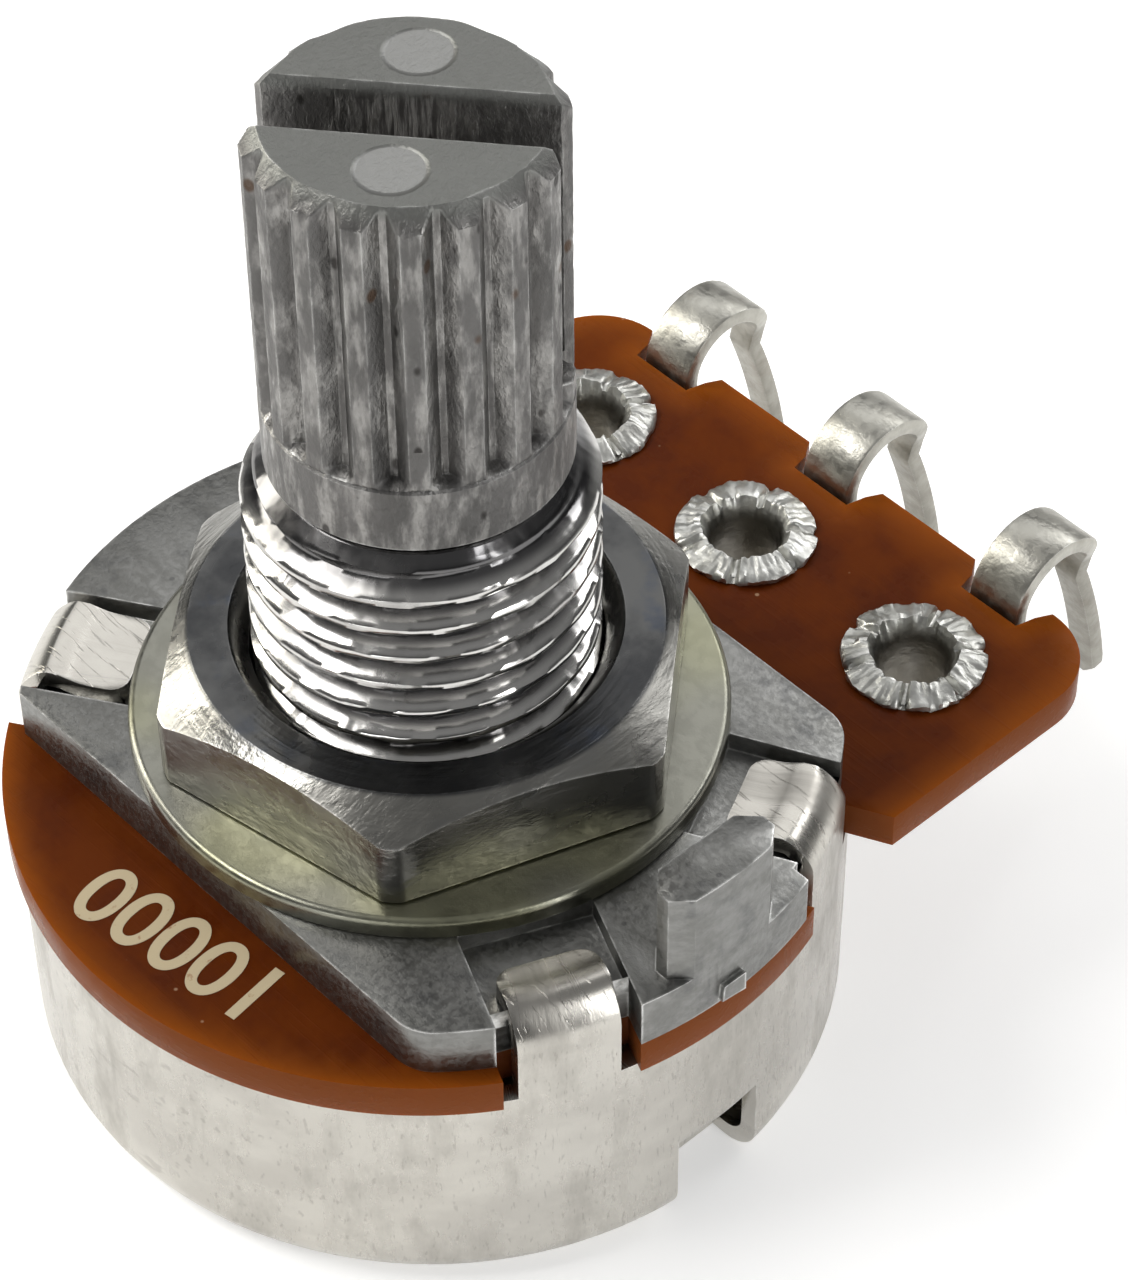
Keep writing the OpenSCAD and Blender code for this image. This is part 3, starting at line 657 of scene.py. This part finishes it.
def make_thread():
    """The bushing: a right-hand helical thread that fades out at both ends, and its bore."""
    steps, levels_per_turn, turns = 144, 14, 9
    # how far the ridge stands out, by the share of a turn that has passed
    ridge = [(0.0, 0.0), (0.3, 1.0), (0.5, 1.0), (0.8, 0.0)]
    count = turns * levels_per_turn
    gap = (BUSHING_H - THREAD_FOOT) / count
    levels = [THREAD_FOOT + k * gap for k in range(count + 1)]
    rings = [[(THREAD_ROOT, -PLATE_T / 2)] * steps]
    for z in levels:
        ring = []
        for k in range(steps):
            phase = ((z - THREAD_FOOT) / THREAD_PITCH - k / steps) % 1
            lift = 0.0
            for (a, la), (b, lb) in zip(ridge, ridge[1:]):
                if a <= phase <= b:
                    lift = la + (lb - la) * (phase - a) / (b - a)
            fade = min(1.0, max(0.0, (z - THREAD_FOOT) / 0.3))
            fade *= min(1.0, max(0.0, (BUSHING_H - 0.05 - z) / 0.45))
            angle = TAU * k / steps
            worn = wander((3 * math.cos(angle), 3 * math.sin(angle), z), 2.2, 0.03)
            r = THREAD_ROOT + (THREAD_R - THREAD_ROOT) * lift * fade + worn * lift
            r = min(r, THREAD_R, THREAD_ROOT - 0.3 + (BUSHING_H - z) * 1.1 + 0.02)
            ring.append((r, z))
        rings.append(ring)
    rings += [[(BORE_R + 0.12, BUSHING_H)] * steps, [(BORE_R, BUSHING_H - 0.1)] * steps,
              [(BORE_R, -PLATE_T / 2)] * steps]
    mesh = mesh_from("bushing_thread", *from_rings(rings, closed=True), 50)
    add_object("bushing_thread", mesh, "base", "zinc_casting", thread_look())


# Nut and washer

def make_nut():
    """A hex nut whose corners run into a cone, with rounded edges and a wide mouth."""
    steps = 360
    face_r = NUT_AF / 2 - 0.25
    slope = math.tan(math.radians(33))
    base, top = WASHER_T, WASHER_T + NUT_T

    def hex_radius(angle):
        flat = NUT_AF / 2 / math.cos((angle - NUT_TURN) % (math.pi / 3) - math.pi / 6)
        return min(flat, NUT_AF / math.sqrt(3) - 0.1)

    rings = []
    for inset, lift in [(0.12, 0.0), (0.0, 0.06)]:
        rings.append([(hex_radius(TAU * k / steps) - inset, base + lift) for k in range(steps)])
    for share in (0.25, 0.5, 0.75, 1.0):
        ring = []
        for k in range(steps):
            r = hex_radius(TAU * k / steps)
            edge = top - (r - face_r) * slope
            ring.append((r, base + 0.06 + (edge - base - 0.06) * share))
        rings.append(ring)
    for share in (0.34, 0.67, 1.0):
        ring = []
        for k in range(steps):
            r = hex_radius(TAU * k / steps)
            now = r + (face_r - r) * share
            ring.append((now, top - (now - face_r) * slope))
        rings.append(ring)
    rings.append([(face_r - 0.12, top)] * steps)
    for r, z in [(4.6, top), (NUT_MOUTH_R + 0.05, top), (NUT_MOUTH_R - 0.03, top - 0.05),
                 (NUT_BORE_R, top - 0.42), (NUT_BORE_R, base)]:
        rings.append([(r, z)] * steps)
    mesh = mesh_from("hex_nut", *from_rings(rings, closed=True), 25)
    add_object("hex_nut", mesh, "base", "nickel", nut_look(), "mounting_nut")


def make_washer():
    """A stamped washer, rounded on its upper rim."""
    rim = [(WASHER_R - 0.16 + 0.16 * math.sin(t), WASHER_T - 0.16 + 0.16 * math.cos(t))
           for t in [math.pi / 2 * k / 5 for k in range(6)]]
    profile = [(WASHER_HOLE, 0.0), (WASHER_HOLE, WASHER_T)] + rim + [(WASHER_R, 0.06), (WASHER_R - 0.06, 0.0)]
    mesh = mesh_from("plated_washer", *lathe(profile, 240))
    add_object("plated_washer", mesh, "base", "zinc_plate", washer_look(), "flat_washer")


# Board, eyelets and terminals

def notch(x):
    """The points of a notch for a terminal, from left to right, its mouth chipped a little."""
    w, inner, flare = LUG_W / 2 + 0.12, ARCH_Y - ARCH_R - 0.12, 0.3
    return [(x + w + flare, BOARD_REACH), (x + w + 0.12, BOARD_REACH - 0.35), (x + w, inner), (x - w, inner),
            (x - w - 0.08, BOARD_REACH - 0.4), (x - w - flare - 0.05, BOARD_REACH)]


def board_points():
    """Outline of the board, counterclockwise from the right corner's arc."""
    low = math.degrees(math.acos(BOARD_HALF / BOARD_R))
    cx, cy = BOARD_HALF - BOARD_CORNER, BOARD_REACH - BOARD_CORNER
    outline = arc(cx, cy, BOARD_CORNER, 0, 90, 14)
    for x in (PITCH, 0, -PITCH):
        outline += notch(x)
    outline += arc(-cx, cy, BOARD_CORNER, 90, 180, 14)
    return outline + arc(0, 0, BOARD_R, 180 - low, 360 + low, 150)


def painted_edge_glow(obj):
    """Store the painted glow: how near each corner of the mesh lies to the board's outline."""
    outline = [Vector(p) for p in board_points()]
    glow = obj.data.attributes.new("painted_edge_glow", "FLOAT", "POINT")
    for i, vert in enumerate(obj.data.vertices):
        p = Vector((vert.co.x, vert.co.y)) / MM
        near = BOARD_R
        for a, b in zip(outline, outline[1:] + outline[:1]):
            along = b - a
            t = min(1.0, max(0.0, (p - a).dot(along) / max(along.length_squared, 1e-9)))
            near = min(near, (p - a - along * t).length)
        # the painted glow reaches further in on the terminals' side
        reach = 1.1 if p.y > 8 else 0.7
        glow.data[i].value = max(0.0, 1 - near / reach) ** 1.4


def make_board():
    """The laminated board with its notches, channels and round hole."""
    board = temp_object("board", *slab(board_points(), BOARD_REAR, BOARD_TOP))
    for angle, _ in TABS:
        w = TAB_W / 2 + TAB_ROOM
        points, faces = box_points(CAN_R - SHEET - TAB_BEND, 12, -w, w, -4, 0)
        combine(board, temp_object("channel", turned(points, angle), faces), "DIFFERENCE")
    for x, y, r in [(0, 0, BOARD_HOLE)] + [(k * PITCH, EYELET_Y, BARREL_R + 0.02) for k in (-1, 0, 1)]:
        points, faces = lathe([(0, -4), (r, -4), (r, 0), (0, 0)], 72)
        points = [(p[0] + x, p[1] + y, p[2]) for p in points]
        combine(board, temp_object("hole", points, faces), "DIFFERENCE")
    round_edges(board, 0.06)
    # a grid of edges carries the painted glow
    grid = bmesh.new()
    grid.from_mesh(board.data)
    for axis, low, high in (("x", -9, 9), ("y", -9, 12)):
        for k in range(low * 2, high * 2 + 1):
            normal = Vector((1, 0, 0)) if axis == "x" else Vector((0, 1, 0))
            bmesh.ops.bisect_plane(grid, geom=grid.verts[:] + grid.edges[:] + grid.faces[:],
                                   plane_co=normal * k * 0.5 * MM, plane_no=normal)
    grid.to_mesh(board.data)
    grid.free()
    mesh = take_mesh(board)
    painted_edge_glow(add_object("laminate_board", mesh, "base", "phenolic", board_look(), "terminal_board"))


def make_value():
    """A plain number printed in cream on the board's front, its top outwards."""
    text = bpy.data.curves.new("value_print", "FONT")
    text.body = "10000"
    text.size = 2.1 * MM
    text.offset = 0.025 * MM
    text.extrude = 0.005 * MM
    text.align_x = "CENTER"
    text.align_y = "CENTER"
    obj = bpy.data.objects.new("value_print", text)
    bpy.context.scene.collection.objects.link(obj)
    place = Matrix.Translation(Vector((0.5, -7.0, BOARD_TOP + 0.006)) * MM)
    obj.matrix_world = place @ Matrix.Rotation(math.radians(188), 4, "Z") @ Matrix.Diagonal((0.95, 1, 1, 1))
    bpy.context.view_layer.update()
    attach(obj, "base")
    look = Look("value_ink", (0.6, 0.5, 0.33), 0.7, specular=0.1)
    worn = look.noise(look.mapped((3, 3, 3)), low=0.6, high=0.7)
    look.tint(worn, (0.3, 0.1, 0.04), 0.6)
    obj.data.materials.append(look.done())


def make_eyelet(i, look):
    """A crimped eyelet: a torn, petalled rim rolled over on the board, and a flange behind."""
    rng = random.Random(40 + i)
    x0 = (2 - i) * PITCH
    steps = 216
    splits = [TAU * (k + rng.uniform(-0.22, 0.22)) / 6 for k in range(6)]
    depths = [rng.uniform(0.5, 1.0) for _ in splits]
    rear = LUG_TOP - LUG_T
    # the section: flange behind, barrel, rows 6 to 11 over the rolled rim, and down the hole
    rows = [(EYELET_HOLE, rear - 0.25), (1.4, rear - 0.25), (1.4, rear), (BARREL_R, rear),
            (BARREL_R, BOARD_TOP), (1.48, BOARD_TOP), (EYELET_R, BOARD_TOP + 0.06), (1.53, BOARD_TOP + 0.14),
            (1.42, BOARD_TOP + 0.2), (1.26, BOARD_TOP + 0.23), (1.1, BOARD_TOP + 0.31),
            (0.96, BOARD_TOP + 0.32), (0.87, BOARD_TOP + 0.16), (0.8, BOARD_TOP - 0.1),
            (EYELET_HOLE, BOARD_TOP - 0.3)]
    points = []
    for k in range(steps):
        angle = TAU * k / steps
        cut = 0.0
        for split, deep in zip(splits, depths):
            gap = abs((angle - split + math.pi) % TAU - math.pi)
            cut = max(cut, deep * min(1.0, max(0.0, 1.5 - gap / 0.06)))
        for j, (r, z) in enumerate(rows):
            seed = i * 7.3
            rim = 1.0 if 6 <= j <= 12 else 0.0
            p = (r * math.cos(angle) * 2.0, r * math.sin(angle) * 2.0, j * 0.2)
            r2 = r + rim * wander(p, 1.1, 0.07, seed)
            grit = wander(p, 1.6, 0.06, seed + 3) + wander(p, 5.0, 0.05, seed + 5)
            z2 = z + rim * grit * (1 if z > BOARD_TOP else 0)
            if 6 <= j <= 11:
                z2 = z2 - cut * (z - BOARD_TOP) * 0.8
                r2 = r2 - cut * (0.12 if j < 9 else -0.16)
            if 10 <= j <= 12:
                r2 += 0.05 * math.sin(angle * 17 + seed) * max(0.0, wander(p, 1.5, 1.6, seed + 8))
            r2 = min(r2, EYELET_R)
            z2 = min(z2, BOARD_TOP + CRIMP_H)
            points.append((x0 + r2 * math.cos(angle), EYELET_Y + r2 * math.sin(angle), z2))
    n = len(rows)
    faces = [(a * n + j, (a + 1) % steps * n + j, (a + 1) % steps * n + (j + 1) % n, a * n + (j + 1) % n)
             for a in range(steps) for j in range(n)]
    name = f"crimped_eyelet_{i}"
    add_object(name, mesh_from(name, points, faces, 42), "base", "tinned", look, f"eyelet_{i}")


def terminal_path():
    """Middle line of a terminal from the eyelet to the tail's end: (y, z) and its width."""
    mid = ARCH_R - LUG_T / 2
    foot = LUG_TOP - LUG_T / 2
    rise = ARCH_Y - mid
    bend = 0.32
    # the tail leaves the arch at a steeper lean and straightens on its way down
    first_lean, straighten = TAIL_LEAN * 1.45, 0.62
    path = [(EYELET_Y + 1.1, foot), (rise - bend - 0.3, foot)]
    path += [(rise - bend + bend * math.sin(t), foot + bend - bend * math.cos(t))
             for t in [math.pi / 2 * k / 6 for k in range(7)]]
    path += [(rise, foot + bend + (-ARCH_R - foot - bend) * k / 4) for k in range(1, 5)]
    last = math.pi / 2 + first_lean
    path += [(ARCH_Y - mid * math.cos(t), -ARCH_R + mid * math.sin(t))
             for t in [(math.pi / 2 + last) * k / 22 for k in range(1, 23)]]
    y, z = path[-1]
    pieces = 16
    length = (z + TAIL_DROP) / math.cos(TAIL_LEAN) / pieces
    for k in range(pieces):
        lean = first_lean * (1 - straighten * (k + 0.5) / pieces)
        y += length * math.sin(lean)
        z -= length * math.cos(lean)
        path.append((y, z))
    return path


def terminal_width(share_down):
    """Half width at a share of the way from the arch's wide strip to the narrow tail."""
    wide, narrow = LUG_W / 2, TAIL_W / 2
    t = min(1.0, max(0.0, share_down))
    return wide + (narrow - wide) * t * t * (3 - 2 * t)


def make_terminal(i, look):
    """A folded terminal: a strip with rounded edges swept along its middle line."""
    x0 = (2 - i) * PITCH
    path = [Vector(p) for p in terminal_path()]
    path[-1].y = max(path[-1].y, -TAIL_DROP + 0.02)
    edge = 0.09
    points = []
    ends = len(path)
    tail_end = path[-1]
    for k, p in enumerate(path):
        ahead = path[min(k + 1, ends - 1)] - path[max(k - 1, 0)]
        ahead.normalize()
        side = Vector((-ahead.y, ahead.x)) * LUG_T / 2
        half = LUG_W / 2
        if p.x > ARCH_Y:
            half = terminal_width((ARCH_R * -0.35 - p.y) / 1.15)
        left = (p - tail_end).length
        if p.x > ARCH_Y and left < TAIL_W / 2:
            half = max(0.1, math.sqrt(max(0.0, (TAIL_W / 2) ** 2 - (TAIL_W / 2 - left) ** 2)))
        e = min(edge, half * 0.45)
        ring = []
        for sx, sy in ((-1, -1), (1, -1), (1, 1), (-1, 1)):
            corner = [(sx * (half - e), sy), (sx * half, sy * (1 - 2 * e / LUG_T))]
            middle = [(sx * (half - e * 0.3), sy * (1 - 0.6 * e / LUG_T))]
            order = [corner[0]] + middle + [corner[1]]
            ring += order if sx * sy < 0 else order[::-1]
        points += [(x0 + a, p.x + side.x * b, p.y + side.y * b) for a, b in ring]
    n = len(points) // ends
    faces = [(k * n + j, (k + 1) * n + j, (k + 1) * n + (j + 1) % n, k * n + (j + 1) % n)
             for k in range(ends - 1) for j in range(n)]
    faces += [tuple(range(n)), tuple(range((ends - 1) * n, ends * n))[::-1]]
    strip = temp_object("strip", points, faces)
    hole, outer = BARREL_R + 0.04, 1.55
    pad = [(hole, LUG_TOP - LUG_T), (outer, LUG_TOP - LUG_T), (outer, LUG_TOP - 0.02),
           (outer - 0.05, LUG_TOP), (hole, LUG_TOP)]
    points, faces = lathe(pad, 72)
    points = [(x + x0, y + EYELET_Y, z) for x, y, z in points]
    combine(strip, temp_object("pad", points, faces), "UNION")
    add_object(f"solder_terminal_{i}", take_mesh(strip), "base", "tinned", look, f"terminal_{i}")


# Cover

def cover_profile():
    """Section through the sheet where a tab is: up the inside from the floor, over and down outside."""
    outer, inner = REAR_ROUND, REAR_ROUND - SHEET
    top = -0.05
    bend_in, bend_out = TAB_BEND, TAB_BEND + SHEET
    mouth = 4.9
    floor = -CAN_REAR + SHEET
    r_in = CAN_R - SHEET
    profile = [(0.0, floor)]
    profile += [(r_in - inner + inner * math.sin(t), floor + inner - inner * math.cos(t))
                for t in [math.pi / 2 * k / 8 for k in range(9)]]
    profile += [(r_in, z) for z in (-6.2, -5.1, -3.8, -2.6)]
    profile += [(r_in - bend_in + bend_in * math.cos(t), top - SHEET - bend_in + bend_in * math.sin(t))
                for t in [math.pi / 2 * k / 6 for k in range(7)]]
    ramp = [7.7, 7.5, 7.3, 7.1, 6.9]
    profile += [(r, top - SHEET) for r in ramp + [mouth]] + [(r, top) for r in [mouth] + ramp[::-1]]
    profile += [(CAN_R - bend_out + bend_out * math.sin(t), top - bend_out + bend_out * math.cos(t))
                for t in [math.pi / 2 * k / 10 for k in range(11)]]
    # a tab springs up a little where it is bent
    spring_h, spring_r, spring_w = 0.2, 7.85, 0.42
    profile = [(r, z + spring_h * math.exp(-((r - spring_r) / spring_w) ** 2) * (z > BOARD_TOP))
               for r, z in profile]
    profile += [(CAN_R, z) for z in (-2.6, -3.8, -5.1, -6.2)]
    profile += [(CAN_R - outer + outer * math.cos(t), -CAN_REAR + outer - outer * math.sin(t))
                for t in [math.pi / 2 * k / 12 for k in range(13)]]
    return profile + [(0.0, -CAN_REAR)]


def tab_prism():
    """What is cut away above the board between the tabs, as one solid."""
    ring = temp_object("between", *lathe([(0, BOARD_REAR), (12, BOARD_REAR), (12, 2), (0, 2)], 96))
    for angle, inner in TABS:
        c, w = 0.4, TAB_W / 2
        plan = arc(inner + c, c - w, c, 270, 180, 5) + arc(inner + c, w - c, c, 180, 90, 5)
        plan += [(14, w), (14, -w)]
        points, faces = slab(plan, BOARD_REAR - 1, 3)
        combine(ring, temp_object("keep", turned(points, angle), faces), "DIFFERENCE")
    return ring


def make_cover():
    """The drawn cover: one sheet with bent tabs, the window, the stop tongue and the rim's cut."""
    cover = temp_object("sheet", *lathe(cover_profile(), 240))
    combine(cover, tab_prism(), "DIFFERENCE")
    window = box_points(STOP_R + SHEET, 12, -WINDOW_HALF, WINDOW_HALF, -9, WINDOW_TOP)
    combine(cover, temp_object("window", *window), "DIFFERENCE")
    rim = box_points(-PITCH, PITCH, 0, 12, BOARD_REAR - 1.1, 0)
    combine(cover, temp_object("rim", *rim), "DIFFERENCE")
    stop = box_points(STOP_R, STOP_R + SHEET, -STOP_HALF, STOP_HALF,
                      -CAN_REAR + SHEET / 2, WINDOW_TOP - SHEET / 2)
    combine(cover, temp_object("stop", *stop), "UNION")
    round_edges(cover, 0.07, angle=40)
    # the wall, above its rear edge, is drawn in unevenly
    wall_foot = -7.0
    for vert in cover.data.vertices:
        p = vert.co / MM
        if p.z > wall_foot:
            vert.co -= Vector((p.x, p.y, 0)).normalized() * abs(wander(p, 0.35, 0.03)) * MM
    add_object("drawn_cover", take_mesh(cover), "base", "plated_sheet", cover_look(), "rear_cover")


def dress_inside():
    """Give the nodes that stay as they are their finishes."""
    looks = {
        "retaining_ring": plain_look("spring_steel", (0.4, 0.4, 0.41), 0.35, 1.0, (0.28, 0.28, 0.3)),
        "carbon_track": plain_look("carbon", (0.02, 0.02, 0.02), 0.6, 0.0, (0.045, 0.045, 0.045)),
        "collector_ring": plain_look("silver_print", (0.62, 0.62, 0.6), 0.45, 0.8, (0.5, 0.5, 0.47)),
        "rotor": plain_look("rotor_plastic", (0.7, 0.66, 0.55), 0.5, 0.0, (0.62, 0.57, 0.45)),
        "wiper": plain_look("bronze", (0.6, 0.4, 0.18), 0.3, 1.0, (0.45, 0.28, 0.12)),
    }
    looks["track_end_1"] = looks["track_end_3"] = looks["collector_ring"]
    for name, look in looks.items():
        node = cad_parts[name]
        node.data.materials.clear()
        node.data.materials.append(look)


# Studio

def make_floor():
    """A pale floor under the cover."""
    half = 400
    mesh = mesh_from("floor", [(-half, -half, -CAN_REAR), (half, -half, -CAN_REAR), (half, half, -CAN_REAR),
                               (-half, half, -CAN_REAR)], [(0, 1, 2, 3)])
    obj = bpy.data.objects.new("floor", mesh)
    bpy.context.scene.collection.objects.link(obj)
    look = Look("floor_white", (0.92, 0.92, 0.915), 0.75, specular=0.2)
    look.tint(look.noise(look.mapped((0.02, 0.02, 0.02))), (0.9, 0.9, 0.9), 0.4)
    look.shader.inputs["Emission Color"].default_value = (1, 1, 1, 1)
    look.shader.inputs["Emission Strength"].default_value = 0.4
    obj.data.materials.append(look.done())


def aim(obj, place, target, roll=0.0):
    """Put an object at a place in millimetres and turn its -Z axis to a target."""
    back = (Vector(place) - Vector(target)).normalized()
    right = Vector((0, 0, 1)).cross(back).normalized()
    up = back.cross(right)
    side = right * math.cos(roll) + up * math.sin(roll)
    rise = up * math.cos(roll) - right * math.sin(roll)
    turn = Matrix((side, rise, back)).transposed().to_4x4()
    obj.matrix_world = Matrix.Translation(Vector(place) * MM) @ turn


def area_light(name, place, size, power, color=(1, 1, 1), target=(0, 2, 2)):
    light = bpy.data.lights.new(name, "AREA")
    light.shape = "RECTANGLE"
    light.size, light.size_y = size[0] * MM, size[1] * MM
    light.energy = power
    light.color = color
    obj = bpy.data.objects.new(name, light)
    bpy.context.scene.collection.objects.link(obj)
    aim(obj, place, target)


def make_studio():
    """Soft lights round the part, and a bright world that leaves dark gaps for the metal to mirror."""
    area_light("key_light", (-90, -110, 190), (110, 70), 0.22, (1.0, 0.99, 0.97))
    area_light("left_strip", (-150, -60, 60), (40, 130), 0.13, (1.0, 0.97, 0.88))
    area_light("right_strip", (160, 10, 70), (22, 140), 0.08)
    area_light("rear_light", (10, 170, 120), (150, 50), 0.1)
    area_light("front_low", (60, -170, 30), (90, 22), 0.03)
    area_light("upper_panel", (-95, 100, 145), (190, 120), 0.085)
    world = bpy.data.worlds.new("studio")
    world.use_nodes = True
    tree = world.node_tree
    place = tree.nodes.new("ShaderNodeTexCoord")
    parts = tree.nodes.new("ShaderNodeSeparateXYZ")
    ramp = tree.nodes.new("ShaderNodeValToRGB")
    ramp.color_ramp.elements[0].position = 0.0
    ramp.color_ramp.elements[0].color = (0.6, 0.6, 0.59, 1)
    ramp.color_ramp.elements[1].position = 0.9
    ramp.color_ramp.elements[1].color = (0.42, 0.42, 0.42, 1)
    dark = ramp.color_ramp.elements.new(0.25)
    dark.color = (0.07, 0.07, 0.072, 1)
    tree.links.new(place.outputs["Generated"], parts.inputs[0])
    tree.links.new(parts.outputs[2], ramp.inputs[0])
    tree.links.new(ramp.outputs[0], tree.nodes["Background"].inputs["Color"])
    tree.nodes["Background"].inputs["Strength"].default_value = 0.6
    bpy.context.scene.world = world
    bpy.context.scene.view_settings.view_transform = "Standard"


def make_camera():
    """The photograph's camera, fitted to it: azimuth, elevation, roll, distance and focal length."""
    azimuth, elevation, roll, distance = math.radians(-42.43), math.radians(46.17), math.radians(-0.5), 87.74
    target = Vector((0.01, 3.68, -0.62))
    focal_px, photo_w = 4216.07, 1128
    back = Vector((math.cos(elevation) * math.cos(azimuth), math.cos(elevation) * math.sin(azimuth),
                   math.sin(elevation)))
    camera = bpy.data.cameras.new("camera")
    camera.sensor_fit = "HORIZONTAL"
    camera.sensor_width = 36
    camera.lens = 36 * focal_px / photo_w
    camera.clip_start = 0.001
    obj = bpy.data.objects.new("camera", camera)
    bpy.context.scene.collection.objects.link(obj)
    aim(obj, target + back * distance, target, roll)
    bpy.context.scene.camera = obj


make_camera()
make_studio()
make_floor()
make_shaft()
make_plate()
make_thread()
make_nut()
make_washer()
make_board()
make_value()
eyelet_tin = tin_look("eyelet_tin", (0.5, 0.5, 0.47), (0.85, 0.85, 0.82), (0.2, 0.19, 0.17), 0.8)
terminal_tin = tin_look("terminal_tin", (0.4, 0.39, 0.35), (0.56, 0.55, 0.5), (0.26, 0.23, 0.19), 0.3)
for number in (1, 2, 3):
    make_eyelet(number, eyelet_tin)
    make_terminal(number, terminal_tin)
make_cover()
dress_inside()
